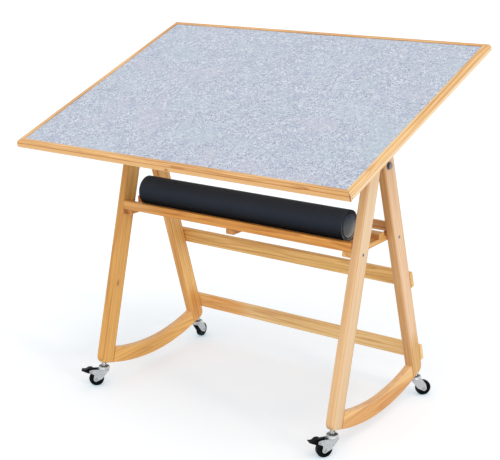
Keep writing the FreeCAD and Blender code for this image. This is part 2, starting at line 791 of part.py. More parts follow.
def quadrant(side):
    """A steel fan fixed to the board, with a slot centred on the pivot."""
    name = "tilt_quadrant_" + SIDE_NAMES[side]
    made = body(name + "_body", "%s * %s" % (
        BOARD, at((plate_face - S["quadrant_thick"] / 2) * side, 0, 0)))
    middle = 180 - S["slot_middle_angle"]
    slot_first = middle - S["slot_half_angle"]
    slot_last = middle + S["slot_half_angle"]
    first = slot_first - S["fan_extra_angle"]
    last = slot_last + S["fan_extra_angle"]
    rim = S["clamp_radius"] + S["quadrant_margin"]
    boss = S["quadrant_boss"]
    drawing = sketch(made, "YZ_Plane")
    hub = (ZERO, ZERO)
    draw(drawing, [
        point(*polar(rim, first)),
        point(*polar(rim, last), polar(rim, middle), hub),
        point(boss, 0),
        point(-boss, 0, (ZERO, boss), hub),
    ])
    pad(made, drawing, S["quadrant_thick"])
    slot = sketch(made, "YZ_Plane")
    half_slot = S["slot_width"] / 2
    radius = S["clamp_radius"]
    inner = radius - half_slot
    outer = radius + half_slot
    cap_turn = half_slot / radius * (180 / math.pi)
    draw(slot, [
        point(*polar(inner, slot_first), polar(inner, middle), hub),
        point(*polar(outer, slot_first), polar(radius, slot_first - cap_turn),
              polar(radius, slot_first)),
        point(*polar(outer, slot_last), polar(outer, middle), hub),
        point(*polar(inner, slot_last), polar(radius, slot_last + cap_turn),
              polar(radius, slot_last)),
    ])
    pocket(made, slot)
    return name, made


def knob(side):
    """A lobed hand knob on the inner end of the clamp bolt."""
    name = "tilt_knob_" + SIDE_NAMES[side]
    face = S["leg_thick"] + S["plate_gap"] * 2 + S["quadrant_thick"] + S["washer_thick"]
    made = body(name + "_body", clamp_place(side, -face))
    drawing = sketch(made, "XY_Plane")
    wide = S["knob_diameter"] / 2
    circle(drawing, 0, 0, S["knob_diameter"])
    grip = pad(made, drawing, S["knob_thick"], both=False)
    lobes = sketch(made, "XY_Plane")
    for share in range(KNOB_LOBES):
        angle = size(360.0 * share / KNOB_LOBES)
        away = wide + S["knob_lobe"] / 3
        circle(lobes, away * cosine(angle), away * sine(angle), S["knob_lobe"])
    pocket(made, lobes)
    bore = sketch(made, "XY_Plane")
    circle(bore, 0, 0, S["bolt_diameter"] + 2 * S["bolt_gap"])
    pocket(made, bore)
    return keep(made, name)


def build_tilt_gear():
    bolt_bore = S["bolt_diameter"] + 2 * S["bolt_gap"]
    washer_bore = S["bolt_diameter"] + 4 * S["bolt_gap"]
    pivots = []
    nuts = []
    washers = []
    clamps = []
    panel_holes = []
    cleat_screws = []
    plate_screws = []
    for side in (LEFT, RIGHT):
        name = SIDE_NAMES[side]
        # pivot bolt: washer and head outside the leg, washer and nut inside the cleat
        grip = outer_face - cleat_back
        head = S["washer_thick"] + S["bolt_head_thick"]
        pivots.append(fused("pivot_bolt_" + name, [
            rod("pivot_shank_" + name, pivot_place(side, S["washer_thick"]),
                S["bolt_diameter"], grip + S["washer_thick"] * 2 + S["plate_gap"]
                + S["nut_thick"] + S["washer_thick"]),
            taper("pivot_head_" + name, pivot_place(side, head), S["bolt_head"] - S["nut_thick"],
                  S["bolt_head"], S["bolt_head_thick"])]))
        for place, label in ((S["washer_thick"], "outer"),
                             (-grip - S["plate_gap"], "inner")):
            washers.append(cut("pivot_washer_%s_%s" % (label, name), rod(
                "pivot_washer_disc_%s_%s" % (label, name), pivot_place(side, place),
                S["washer_diameter"], S["washer_thick"]), [rod(
                    "pivot_washer_hole_%s_%s" % (label, name), pivot_place(side, place),
                    washer_bore, S["washer_thick"])]))
        nut_at = pivot_place(side, -grip - S["plate_gap"] - S["washer_thick"])
        nuts.append(cut("pivot_nut_" + name, hexagon("pivot_nut_blank_" + name, nut_at,
                    S["nut_width"], S["nut_thick"]), [rod("pivot_nut_hole_" + name, nut_at,
                    S["bolt_diameter"], S["nut_thick"])]))
        # clamp bolt through the rear leg and the quadrant's slot
        reach = S["leg_thick"] + S["plate_gap"] * 2 + S["quadrant_thick"]
        collar_at = reach + S["washer_thick"] + S["knob_thick"] + S["bolt_gap"]
        clamps.append(fused("clamp_bolt_" + name, [
            rod("clamp_shank_" + name, clamp_place(side, S["washer_thick"]),
                S["bolt_diameter"], collar_at + S["washer_thick"] * 2),
            hexagon("clamp_head_" + name, clamp_place(side, S["washer_thick"]
                    + S["bolt_head_thick"]), S["nut_width"], S["bolt_head_thick"]),
            rod("clamp_washer_" + name, clamp_place(side, S["washer_thick"]),
                S["washer_diameter"], S["washer_thick"]),
            rod("clamp_inner_washer_" + name, clamp_place(side, -reach),
                S["washer_diameter"], S["washer_thick"] - S["bolt_gap"]),
            rod("clamp_collar_" + name, clamp_place(side, -collar_at), S["nut_width"],
                S["washer_thick"])]))
        knob(side)
        # cleat under the board, with its screws
        cleat_name, blank = cleat(side)
        middle = (cleat_face - S["cleat_thick"] / 2) * side
        low = S["pivot_nose"] - S["cleat_depth"]
        places = []
        for share in CLEAT_SCREW_SHARES:
            places.append("%s * %s" % (BOARD, at(middle, S["cleat_length"] / 2 * share, low)))
        made, holes = screwed("cleat_screw_" + name, places, S["cleat_screw_length"])
        cleat_screws += made
        panel_holes += holes
        plate_places = []
        for step in (-1, 1):
            plate_places.append("%s * %s" % (BOARD, at(plate_face * side,
                                S["plate_screw_spread"] * step, S["plate_screw_rise"],
                                "y", -90 * side)))
        made, plate_holes = screwed("quadrant_screw_" + name, plate_places,
                                    S["plate_screw_length"])
        plate_screws += made
        tip = S["overrun"]
        bore = rod(cleat_name + "_bore", "%s * %s" % (BOARD, at((plate_face + tip) * side,
                   0, 0, "y", -90 * side)), bolt_bore, S["cleat_thick"]
                   + S["quadrant_thick"] + tip * 2)
        keep(cut(cleat_name + "_bored", blank, [bore] + holes + plate_holes), cleat_name)
        plate_name, plate = quadrant(side)
        keep(cut(plate_name + "_bored", plate, [bore] + plate_holes), plate_name)
    group("pivot_bolts", pivots)
    group("pivot_nuts", nuts)
    group("pivot_washers", washers)
    group("clamp_bolts", clamps)
    group("cleat_screws", cleat_screws)
    group("quadrant_screws", plate_screws)
    return panel_holes


# Casters: stem and race in the leg, swivelling fork, axle, wheel and toe brake
wheel_radius = named("wheel_radius", S["wheel_diameter"] / 2)
fork_half = named("fork_half", S["fork_width"] / 2)
fork_underside = named("fork_underside", S["fork_top"] - S["fork_top_plate"])


def half_profile(name, place, points):
    """A turned piece; its outline is given as (radius, height) pairs."""
    made = body(name, place)
    drawing = sketch(made, "XZ_Plane")
    draw(drawing, [point(*pair) for pair in points])
    spin(made, drawing)
    return made


def caster_stem(name, foot):
    """The threaded stem with its collar, dished cap and race, and the pin below."""
    low = S["fork_top"] + S["race_gap"]
    top = S["foot_height"] + S["stem_length"]
    pin = S["caster_pin"] / 2
    head_top = fork_underside - S["race_gap"]
    bevel = S["race_gap"] * 2
    wide = S["race_radius"]
    race_top = low + S["race_height"]
    rim = low + S["cap_height"]
    dish = rim - S["cap_dish"]
    inside = S["cap_radius"] - S["cap_rim"]
    collar = S["collar_diameter"] / 2
    # the collar stops under the lowest wood that it meets, on the foot's slanted end
    collar_top = S["foot_height"] - (collar - S["stem_shift"]) * lean_sine / lean_cosine \
        - S["wood_gap"]
    made = half_profile("caster_stem_%s_turned" % name, foot, [
        (0, head_top - S["rivet_thick"]), (pin * 1.5, head_top - S["rivet_thick"]),
        (pin * 1.5, head_top), (pin, head_top), (pin, low), (wide - bevel, low),
        (wide, low + bevel), (wide, race_top - bevel), (wide - bevel, race_top),
        (S["cap_radius"], race_top), (S["cap_radius"], rim - bevel * 2),
        (S["cap_radius"] - bevel, rim - bevel / 2), (S["cap_radius"] - bevel * 2, rim),
        (inside + bevel, rim), (inside, dish), (collar, dish),
        (collar, collar_top - bevel), (collar - bevel, collar_top),
        (S["bolt_diameter"] / 2, collar_top), (S["bolt_diameter"] / 2, top), (0, top)])
    return keep(made, "caster_stem_" + name)


def caster_fork(name, swivel, braked):
    made = body("caster_fork_%s_body" % name, swivel)
    side_view = sketch(made, "XZ_Plane")
    top = S["fork_top"]
    axle = (S["trail"], wheel_radius)
    eye = S["eye_radius"]
    around = (axle[0] + eye * HALF_DIAGONAL_SHARE, axle[1] - eye * HALF_DIAGONAL_SHARE)
    outline = [
        point(-S["fork_back"], top),
        point(-S["fork_back"], top - S["fork_shoulder"]),
        point(S["fork_heel"], S["fork_heel_height"]),
        point(axle[0], axle[1] - eye),
        point(axle[0] + eye, axle[1], around, axle),
        point(S["fork_notch"], S["fork_notch_height"]),
    ]
    if braked:
        ear = (S["ear_reach"], S["ear_height"])
        bend = S["ear_radius"]
        outline += [point(ear[0], ear[1] - bend),
                    point(ear[0], ear[1] + bend, (ear[0] + bend, ear[1]), ear)]
    outline.append(point(S["fork_front"], top))
    draw(side_view, outline)
    pad(made, side_view, S["fork_width"])
    inside = sketch(made, "XZ_Plane")
    reach = S["ear_reach"] + S["ear_radius"] + S["overrun"]
    draw(inside, [point(-reach, 0), point(reach, 0), point(reach, fork_underside),
                  point(-reach, fork_underside)])
    hollow = made.newObject("PartDesign::Pocket", made.Name + "_hollow")
    hollow.Profile = inside
    hollow.setExpression("Length", (S["fork_width"] - 2 * S["fork_plate"]).text)
    hollow.Midplane = True
    if braked:
        mouth = sketch(made, "XZ_Plane")
        draw(mouth, [point(S["fork_front"], fork_underside - S["overrun"]),
                     point(reach, fork_underside - S["overrun"]),
                     point(reach, top + S["overrun"]), point(S["fork_front"], top + S["overrun"])])
        opened = made.newObject("PartDesign::Pocket", made.Name + "_mouth")
        opened.Profile = mouth
        opened.setExpression("Length", (S["fork_width"] - 2 * S["fork_plate"]).text)
        opened.Midplane = True
    plate = sketch(made, "XY_Plane", fork_underside)
    circle(plate, 0, 0, S["race_radius"] * 2 - S["fork_top_plate"])
    pad(made, plate, S["fork_top_plate"], both=False)
    hole = sketch(made, "XY_Plane")
    circle(hole, 0, 0, S["caster_pin"] + 2 * S["axle_gap"])
    pocket(made, hole)
    holes = sketch(made, "XZ_Plane")
    circle(holes, axle[0], axle[1], S["axle_diameter"] + 2 * S["screw_gap"])
    if braked:
        circle(holes, S["ear_reach"], S["ear_height"], S["brake_pin"] + 2 * S["screw_gap"])
    pocket(made, holes)
    return keep(made, "caster_fork_" + name)


def riveted_pin(label, swivel, x, z, diameter, head):
    """A pin across the fork with a domed head on each end."""
    thick = S["rivet_thick"]
    gap = S["screw_gap"]
    across = "%s * %s" % (swivel, at(x, fork_half + gap, z, "x", 90))
    back = "%s * %s" % (swivel, at(x, -fork_half - gap, z, "x", 90))
    front = "%s * %s" % (swivel, at(x, fork_half + gap, z, "x", -90))
    made = fused(label + "_pin", [
        rod(label + "_shank", across, diameter, S["fork_width"] + 2 * gap),
        taper(label + "_near", back, head, head - thick * 2, thick),
        taper(label + "_far", front, head, head - thick * 2, thick)])
    return keep(made, label)


def caster_wheel(name, swivel):
    bore = S["axle_diameter"] / 2 + S["axle_gap"]
    hub = S["hub_diameter"] / 2
    half_hub = S["hub_width"] / 2
    half_tyre = S["wheel_width"] / 2
    crown = S["wheel_crown"]
    inner = wheel_radius - S["tread_depth"]
    web = half_tyre - S["web_inset"]
    upper = [(bore, half_hub), (hub - crown, half_hub), (hub, web), (inner, web),
             (inner + crown / 2, half_tyre), (wheel_radius - crown, half_tyre),
             (wheel_radius - crown / 3, half_tyre - crown / 2),
             (wheel_radius, half_tyre - crown * 1.5)]
    lower = [(radius, -height) for radius, height in reversed(upper)]
    place = "%s * %s" % (swivel, at(S["trail"], 0, wheel_radius, "x", 90))
    return keep(half_profile("caster_wheel_%s_turned" % name, place, upper + lower),
                "caster_wheel_" + name)


def brake_pedal(name, swivel):
    """A toe lever on the fork's ears; pressed down, its cam meets the tread."""
    made = body("brake_pedal_%s_body" % name, swivel)
    x = S["ear_reach"]
    z = S["ear_height"]
    hub = S["pedal_hub"]
    drawing = sketch(made, "XZ_Plane")
    under = (x - hub * HALF_DIAGONAL_SHARE, z - hub * HALF_DIAGONAL_SHARE)
    outline = [
        point(x - hub, z),
        point(x, z - hub, under, (x, z)),
        point(x + S["cam_reach"], z - S["cam_drop"]),
        point(x + S["pedal_heel"], z - hub),
    ]
    for reach_share, height_share in PEDAL_SHARES:
        outline.append(point(x + S["pedal_reach"] * reach_share,
                             z + S["pedal_hump"] * height_share))
    draw(drawing, outline)
    pad(made, drawing, S["pedal_width"])
    hole = sketch(made, "XZ_Plane")
    circle(hole, x, z, S["brake_pin"] + 2 * S["axle_gap"])
    pocket(made, hole)
    return keep(made, "brake_pedal_" + name)


def build_casters():
    for side in (LEFT, RIGHT):
        for end, end_name in ((FRONT, "front"), (REAR, "rear")):
            name = "%s_%s" % (end_name, SIDE_NAMES[side])
            x = S["frame_centre_x"] * side
            y = apex_y + stem_reach * end
            swivel = at(x, y, 0, "z", S[name + "_turn"])
            caster_stem(name, at(x, y, 0))
            caster_fork(name, swivel, end == FRONT)
            riveted_pin("caster_axle_" + name, swivel, S["trail"], wheel_radius,
                        S["axle_diameter"], S["rivet_head"])
            caster_wheel(name, swivel)
            if end == FRONT:
                riveted_pin("brake_pin_" + name, swivel, S["ear_reach"], S["ear_height"],
                            S["brake_pin"], S["rivet_head"] - S["rivet_thick"])
                brake_pedal(name, swivel)


# Rolled mat: one sheet wound in half turns of growing radius, lying in the cradle
def build_mat():
    half_pitch = S["mat_pitch"] / 2
    inner_edge = []
    outer_edge = []
    turns = []
    for index in range(MAT_HALF_TURNS):
        centre = half_pitch * (index % 2)
        inner = S["mat_bore_radius"] + half_pitch * index
        outer = inner + S["mat_thick"]
        way = 1 if index % 2 == 0 else -1
        hub = (centre, ZERO)
        inner_edge.append(point(centre - inner * way, 0, (centre, inner * way), hub))
        outer_edge.append(point(centre + outer * way, 0, (centre, outer * way), hub))
        turns.append((centre.value, inner.value, outer.value))
    # the last half turn faces down, and rests on the rounded edges of two rails
    seat = named("mat_seat", outer + S["shelf_round"] + S["soft_gap"])
    spread = named("mat_spread", S["cradle_gap"] / 2 + S["shelf_round"])
    rise = (S["shelf_height"] + S["shelf_rail_height"] - S["shelf_round"]
            + root(seat * seat - spread * spread))
    middle = apex_y - S["shelf_reach"] + S["shelf_rail_thick"] + S["cradle_gap"] / 2
    place = "%s * %s" % (at(S["mat_shift"], middle, rise, "x", S["mat_end_angle"]),
                         at(0, -centre, 0))
    made = body("rolled_mat_body", place)
    drawing = sketch(made, "YZ_Plane")
    path = [point(S["mat_bore_radius"], 0)] + inner_edge
    path.append(point(centre - outer * way, 0))
    path += reversed(outer_edge)
    draw(drawing, path)
    pad(made, drawing, S["mat_length"])
    keep(made, "rolled_mat")
    print("rolled mat, least gap between turns: %.2f mm" % least_turn_gap(turns))


def least_turn_gap(turns):
    """The least distance from any turn's outer face to the next turn's inner face."""
    rings = []
    for index, (centre, inner, outer) in enumerate(turns):
        for step in range(GAP_STEPS):
            angle = math.pi * (index + step / GAP_STEPS)
            y = math.cos(angle)
            z = math.sin(angle)
            rings.append((centre + inner * y, inner * z, centre + outer * y, outer * z))
    gaps = []
    for index, (_, _, y, z) in enumerate(rings):
        for later in rings[index + GAP_STEPS:]:
            gaps.append(math.hypot(later[0] - y, later[1] - z))
    return min(gaps)


build_stretchers()
build_frames()
build_board(build_tilt_gear())
build_shelf()
build_casters()
build_mat()

doc.recompute()
for item in doc.Objects:
    if "Invalid" in item.State or "Error" in item.State:
        raise ValueError("%s is %s" % (item.Name, item.State))
os.makedirs("parts", exist_ok=True)
for piece in parts:
    shape = piece.Shape
    if shape.isNull() or not shape.isValid():
        raise ValueError("%s has no valid shape" % piece.Label)
for piece in parts:
    piece.Shape.exportStep("parts/%s.step" % piece.Label)
    box = piece.Shape.optimalBoundingBox(False)
    print("%-24s solids %2d volume %10.0f  x %7.1f..%7.1f y %7.1f..%7.1f z %6.1f..%6.1f" % (
        piece.Label, len(piece.Shape.Solids), piece.Shape.Volume,
        box.XMin, box.XMax, box.YMin, box.YMax, box.ZMin, box.ZMax))
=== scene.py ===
import math
import random

import bpy
from mathutils import Matrix, Vector


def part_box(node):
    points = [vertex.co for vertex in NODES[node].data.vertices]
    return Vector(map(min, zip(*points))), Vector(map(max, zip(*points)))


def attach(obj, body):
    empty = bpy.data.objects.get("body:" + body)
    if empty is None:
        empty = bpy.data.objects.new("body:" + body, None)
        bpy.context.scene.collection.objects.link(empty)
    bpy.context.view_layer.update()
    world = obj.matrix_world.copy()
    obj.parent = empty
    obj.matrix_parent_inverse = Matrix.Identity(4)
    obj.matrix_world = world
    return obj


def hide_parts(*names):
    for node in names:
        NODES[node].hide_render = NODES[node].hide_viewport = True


# Jigsaw puzzle table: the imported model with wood, cloth, metal and plastic finishes, and a
# felt sheet and a rolled mat in place of their plain solids.

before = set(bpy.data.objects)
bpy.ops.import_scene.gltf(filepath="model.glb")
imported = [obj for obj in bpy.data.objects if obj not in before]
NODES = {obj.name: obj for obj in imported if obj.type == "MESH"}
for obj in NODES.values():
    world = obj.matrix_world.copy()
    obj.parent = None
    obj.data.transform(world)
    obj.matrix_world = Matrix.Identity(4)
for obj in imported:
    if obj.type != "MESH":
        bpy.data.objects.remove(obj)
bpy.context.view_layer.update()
MM = 0.001

# Values shared with the model, in metres and radians
APEX = Vector((0.0, 10.4653 * MM, 727 * MM))
TILT = math.radians(19.5)
STANCE = 187.5 * MM
LEG_RISE = 667 * MM
LEAN = math.atan2(STANCE, LEG_RISE)
BOARD_OFFSET = -3.4 * MM
BOARD_LENGTH = 930 * MM
BOARD_DEPTH = 650 * MM
RAIL_FACE = 15 * MM
PANEL_TOP = 31 * MM
FELT_TOP = 33 * MM
BOARD_TOP = 34 * MM
SHELF_TOP = 469 * MM
SHELF_REACH = 98 * MM
SHELF_RAIL_THICK = 12 * MM
SHELF_ROUND = 2 * MM
CRADLE_HALF_GAP = 21.5 * MM
STEM_X = 344 * MM
STEM_Y = 192 * MM

ALONG_X = Vector((1, 0, 0))
ALONG_Y = Vector((0, 1, 0))
UP = Vector((0, 0, 1))
BOARD_Y = Vector((0, math.cos(TILT), math.sin(TILT)))
BOARD_N = Vector((0, -math.sin(TILT), math.cos(TILT)))
FRONT_LEG = Vector((0, math.sin(LEAN), math.cos(LEAN)))
REAR_LEG = Vector((0, -math.sin(LEAN), math.cos(LEAN)))


def board_point(x, v, n):
    """A point from the board's own place: across, up the slope, off its pivot plane."""
    return APEX + ALONG_X * x + BOARD_Y * (v + BOARD_OFFSET) + BOARD_N * n


# Node building
class Tree:
    """Short calls for the nodes of one material or world."""

    SCALARS = ("DOT_PRODUCT", "LENGTH", "DISTANCE")
    SURFACE = {"colour": "Base Color", "rough": "Roughness", "metal": "Metallic",
               "normal": "Normal", "coat": "Coat Weight", "coat_rough": "Coat Roughness",
               "sheen": "Sheen Weight", "sheen_rough": "Sheen Roughness",
               "specular": "Specular IOR Level"}

    def __init__(self, owner, output="ShaderNodeOutputMaterial"):
        owner.use_nodes = True
        self.owner = owner
        self.tree = owner.node_tree
        self.tree.nodes.clear()
        self.out = self.node(output)

    def node(self, kind, **settings):
        made = self.tree.nodes.new(kind)
        for key, value in settings.items():
            setattr(made, key, value)
        return made

    def put(self, target, value):
        if isinstance(value, bpy.types.NodeSocket):
            self.tree.links.new(value, target)
        else:
            target.default_value = value

    def maths(self, operation, *values):
        made = self.node("ShaderNodeMath", operation=operation)
        for index, value in enumerate(values):
            self.put(made.inputs[index], value)
        return made.outputs[0]

    def plus(self, value, amount):
        return self.maths("ADD", value, amount)

    def less(self, value, amount):
        return self.maths("SUBTRACT", value, amount)

    def times(self, value, amount):
        return self.maths("MULTIPLY", value, amount)

    def off(self, value, centre):
        """How far a value is from a centre."""
        return self.maths("ABSOLUTE", self.less(value, centre))

    def vector(self, operation, *values):
        made = self.node("ShaderNodeVectorMath", operation=operation)
        for index, value in enumerate(values):
            self.put(made.inputs[index], value)
        return made.outputs["Value" if operation in self.SCALARS else "Vector"]

    def dot(self, where, direction):
        return self.vector("DOT_PRODUCT", where, direction)

    def place(self):
        return self.node("ShaderNodeTexCoord").outputs["Object"]

    def combine(self, x, y, z):
        made = self.node("ShaderNodeCombineXYZ")
        for socket, value in zip(made.inputs, (x, y, z)):
            self.put(socket, value)
        return made.outputs[0]

    def noise(self, where, scale, detail=3.0, rough=0.55, distortion=0.0):
        made = self.node("ShaderNodeTexNoise")
        self.put(made.inputs["Vector"], where)
        made.inputs["Scale"].default_value = scale
        made.inputs["Detail"].default_value = detail
        made.inputs["Roughness"].default_value = rough
        made.inputs["Distortion"].default_value = distortion
        return made.outputs["Fac"]

    def ramp(self, value, stops):
        """A curve through grey levels, given as pairs of place and level."""
        made = self.node("ShaderNodeValToRGB")
        self.put(made.inputs["Fac"], value)
        band = made.color_ramp
        while len(band.elements) < len(stops):
            band.elements.new(0.5)
        for element, (place, level) in zip(band.elements, stops):
            element.position = place
            element.color = (level, level, level, 1.0)
        return made.outputs["Color"]

    def fit(self, value, low, high, to_low=0.0, to_high=1.0):
        """A value taken from one span to another, and held at its ends."""
        made = self.node("ShaderNodeMapRange")
        for socket, amount in zip(made.inputs, (value, low, high, to_low, to_high)):
            self.put(socket, amount)
        return made.outputs[0]

    def fade(self, length, none, full, most=1.0):
        """A share that is 0 at one length and the most at another, both in mm."""
        return self.fit(length, none * MM, full * MM, 0.0, most)

    def mix(self, share, first, second):
        made = self.node("ShaderNodeMix", data_type="RGBA")
        self.put(made.inputs["Factor"], share)
        for name, value in (("A", first), ("B", second)):
            socket = next(s for s in made.inputs if s.name == name and s.type == "RGBA")
            self.put(socket, (*value, 1.0) if isinstance(value, tuple) else value)
        return next(s for s in made.outputs if s.type == "RGBA")

    def bump(self, height, depth, strength):
        """A surface normal from a height, with its depth in mm."""
        made = self.node("ShaderNodeBump")
        made.inputs["Strength"].default_value = strength
        made.inputs["Distance"].default_value = depth * MM
        self.put(made.inputs["Height"], height)
        return made.outputs["Normal"]

    def surface(self, **inputs):
        """The finished material, with the Principled inputs that are given."""
        made = self.node("ShaderNodeBsdfPrincipled")
        for key, value in inputs.items():
            self.put(made.inputs[self.SURFACE[key]], value)
        self.put(self.out.inputs["Surface"], made.outputs[0])
        return self.owner

    def shader(self, kind, **inputs):
        made = self.node(kind)
        for key, value in inputs.items():
            made.inputs[key].default_value = value
        return made.outputs[0]

    def seen_as(self, lighting, seen):
        """One shader for the light, another for camera, mirror and glass rays."""
        path = self.node("ShaderNodeLightPath").outputs
        rays = self.maths("MAXIMUM", path["Is Camera Ray"], path["Is Glossy Ray"])
        rays = self.maths("MAXIMUM", rays, path["Is Transmission Ray"])
        both = self.node("ShaderNodeMixShader")
        for socket, value in zip(both.inputs, (rays, lighting, seen)):
            self.put(socket, value)
        self.put(self.out.inputs["Surface"], both.outputs[0])


def material_tree(name):
    return Tree(bpy.data.materials.new(name))


def srgb(red, green, blue):
    """A colour given as 0 to 255 screen levels, as linear light."""
    levels = []
    for level in (red, green, blue):
        share = level / 255
        if share <= 0.04045:
            levels.append(share / 12.92)
        else:
            levels.append(((share + 0.055) / 1.055) ** 2.4)
    return tuple(levels)


# The light and the dark of a wood, as shares of its mean
LIGHT_SHARE = 1.09
LIGHT_TINT = (1.0, 1.025, 1.10)
DARK_SHARE = (0.78, 0.60, 0.38)


def shades(mean):
    """Light, mean and dark of one wood from its mean, given as screen levels."""
    lift = min(LIGHT_SHARE, 255 / mean[0])
    light = [min(level * lift * tint, 255) for level, tint in zip(mean, LIGHT_TINT)]
    dark = [level * share for level, share in zip(mean, DARK_SHARE)]
    return srgb(*light), srgb(*mean), srgb(*dark)


# Each wooden piece: its grain's direction, its mean colour and its figure, which is the
# pith's two offsets from the piece's middle, the ring width and the sway of the pith, all
# in mm, and the strength of the dark lines
# The means also carry painted light and shade, set piece by piece: the pieces on the lit
# right side, such as front_leg_right, rear_leg_right and frame_rail_right, are paler than
# the same pine on the shaded left.
WOOD = {
    "front_leg_left": (FRONT_LEG, (224, 172, 94), (14, 70, 6.5, 12, 0.48)),
    "front_leg_right": (FRONT_LEG, (223, 187, 139), (26, 95, 6.5, 10, 0.24)),
    "rear_leg_left": (REAR_LEG, (243, 195, 118), (50, 36, 6.0, 14, 0.68)),
    "rear_leg_right": (REAR_LEG, (228, 189, 143), (42, -70, 7.0, 12, 0.45)),
    "curved_rail_left": (ALONG_Y, (239, 187, 107), (40, 14, 6.0, 18, 0.5)),
    "curved_rail_right": (ALONG_Y, (240, 190, 122), (36, 20, 7.0, 20, 0.5)),
    "upper_stretcher": (ALONG_X, (238, 194, 118), (8, 32, 5.4, 20, 0.85)),
    "lower_stretcher": (ALONG_X, (254, 216, 148), (2, 30, 5.2, 18, 0.85)),
    "shelf_front_rail": (ALONG_X, (222, 156, 74), (5, 30, 5.5, 20, 0.85)),
    "shelf_cradle_rail": (ALONG_X, (230, 166, 90), (10, 40, 5.5, 14, 0.8)),
    "shelf_slat": (ALONG_X, (222, 172, 102), (20, 12, 4.5, 12, 1.0)),
    "shelf_back_rail": (ALONG_X, (228, 182, 120), (12, 45, 5.5, 14, 0.9)),
    "shelf_batten_left": (ALONG_Y, (226, 164, 88), (14, 16, 4.5, 8, 0.9)),
    "shelf_batten_middle": (ALONG_Y, (208, 150, 84), (12, 18, 4.5, 8, 0.9)),
    "shelf_batten_right": (ALONG_Y, (230, 178, 104), (16, 16, 4.5, 8, 0.9)),
    "frame_rail_front": (ALONG_X, (232, 183, 118), (6, 26, 7.0, 26, 1.0)),
    "frame_rail_back": (ALONG_X, (236, 186, 118), (12, 28, 6.0, 20, 0.9)),
    "frame_rail_left": (BOARD_Y, (236, 186, 118), (10, 30, 6.0, 18, 0.9)),
    "frame_rail_right": (BOARD_Y, (246, 203, 140), (6, 24, 6.0, 22, 0.8)),
    "board_cleat_left": (BOARD_Y, (224, 174, 106), (20, 60, 6.0, 14, 0.7)),
    "board_cleat_right": (BOARD_Y, (224, 174, 106), (20, -60, 6.0, 14, 0.7)),
}
# The seed of the first piece; each later piece has the next one
FIRST_SEED = 11
# How much slower the wood changes along its grain, for its broad figure and its fibres
BROAD_STRETCH = 0.1
FIBRE_STRETCH = 0.022
# The scales at which the pith sways to its two sides, and the rings' wobble in mm
SWAY_SCALES = (1.5, 2.1)
RING_WOBBLE = 11
# Over one ring, earlywood darkens slowly into a narrow latewood line
LATEWOOD = ((0.0, 0.08), (0.45, 0.12), (0.76, 0.6), (0.88, 1.0), (1.0, 0.1))

# Knots seen in the photograph: a place and a radius in mm, and a depth of colour
KNOTS = {
    "frame_rail_front": (((-2.9, -306.0, 636.9), 2.3, 0.85),
                         ((8.0, -300.0, 650.0), 1.4, 0.85)),
    "front_leg_left": (((-334.0, -123.4, 260.2), 3.8, 0.6),),
    "shelf_batten_left": (((-325.0, -87.5, 440.0), 9.0, 0.85),),
    "shelf_batten_right": (((316.4, 90.1, 447.0), 4.6, 0.85),),
}
KNOT_COLOUR = (140, 78, 26)
# As shares of a knot's radius: its length along the grain, where its colour fades in and
# is full, and the reach and the height of the rings' bend round it
KNOT_LENGTH = 2.0
KNOT_FADE = (1.6, 0.4)
KNOT_BEND = (4.0, 2.2)

# Parts of a piece that are of another colour: a place and a reach in mm, and the colour. The
# two patches high on the front legs are painted light, which lifts the shade the board casts
# there.
PATCHES_AND_PAINTED_LIGHT = {
    # painted light on the upper parts of both front legs, under the board's shade
    "front_leg_left": (((-334.0, -48.0, 520.0), 66.0, (250, 203, 120)),),
    "front_leg_right": (((344.0, -48.0, 520.0), 90.0, (248, 219, 180)),),
    "rear_leg_right": (((344.0, 196.0, 106.0), 74.0, (222, 174, 98)),),
    "rear_leg_left": (((-334.0, 200.0, 110.0), 66.0, (226, 162, 86)),),
    "curved_rail_right": (((344.0, 150.0, 96.0), 40.0, (244, 202, 142)),),
    "shelf_front_rail": (((-300.0, -87.0, 460.0), 90.0, (238, 184, 112)),),
    "lower_stretcher": (((-250.0, 200.0, 115.0), 80.0, (240, 176, 98)),),
}
# As shares of a patch's reach: how ragged its edge is, and where it fades in and is full
PATCH_RAGGED = 0.8
PATCH_FADE = (1.5, 0.9)

# A long line of the figure with another colour under it: the heights in mm at which that
# fades in and is full, how ragged they are in mm, the line's fall along Y, and the colour
FIGURE_LINES = {"curved_rail_right": ((72.2, 70.6), 5.0, 0.035, (222, 162, 92))}
# Painted light on the curved rails' tops, which face up
CURVED_TOP_LIGHT = (242, 200, 152)

# The legs' narrow faces, past a dark arris, by the distance in mm from the grain's middle
# line: their tones are painted light and shade, darker on the rear legs and lighter on the
# front right one
NARROW_FACE_LIGHT_AND_SHADE = {
    "front_leg_left": (226, 170, 92), "front_leg_right": (236, 192, 140),
    "rear_leg_left": (232, 174, 100), "rear_leg_right": (214, 166, 108),
}
NARROW_FACE_FADE = (19.2, 20.8)
ARRIS = 19.6 * MM
ARRIS_FADE = (1.9, 0.5)

# Painted light: the paler faces below the step of the two frame rails that the camera sees
# from outside, which face the light, by their lift over the board's pivot plane and their
# inset from its edge, in mm
LIT_LOW_FACES = {"frame_rail_right": (252, 230, 198), "frame_rail_front": (238, 186, 122)}
LOW_FACE_LIFT = (27.0, 25.8)
LOW_FACE_INSET = (2.5, 1.9)
# Painted shade: the dark line in the vee of each frame rail
VEE_INSET = 7 * MM
VEE_FADE = (1.2, 0.5)
VEE_LIFT = (31, 32)
# Painted shadow: the dark line under each rail's bead, its lift and reach in mm, and its
# depth
STEP_SHADOW_LINES = {
    "frame_rail_front": (28.0, 1.5, 0.8), "frame_rail_back": (26.1, 1.0, 0.5),
    "frame_rail_left": (26.1, 1.0, 0.5), "frame_rail_right": (26.1, 1.0, 0.5),
}
STEP_SHADOW_CORE = 0.4
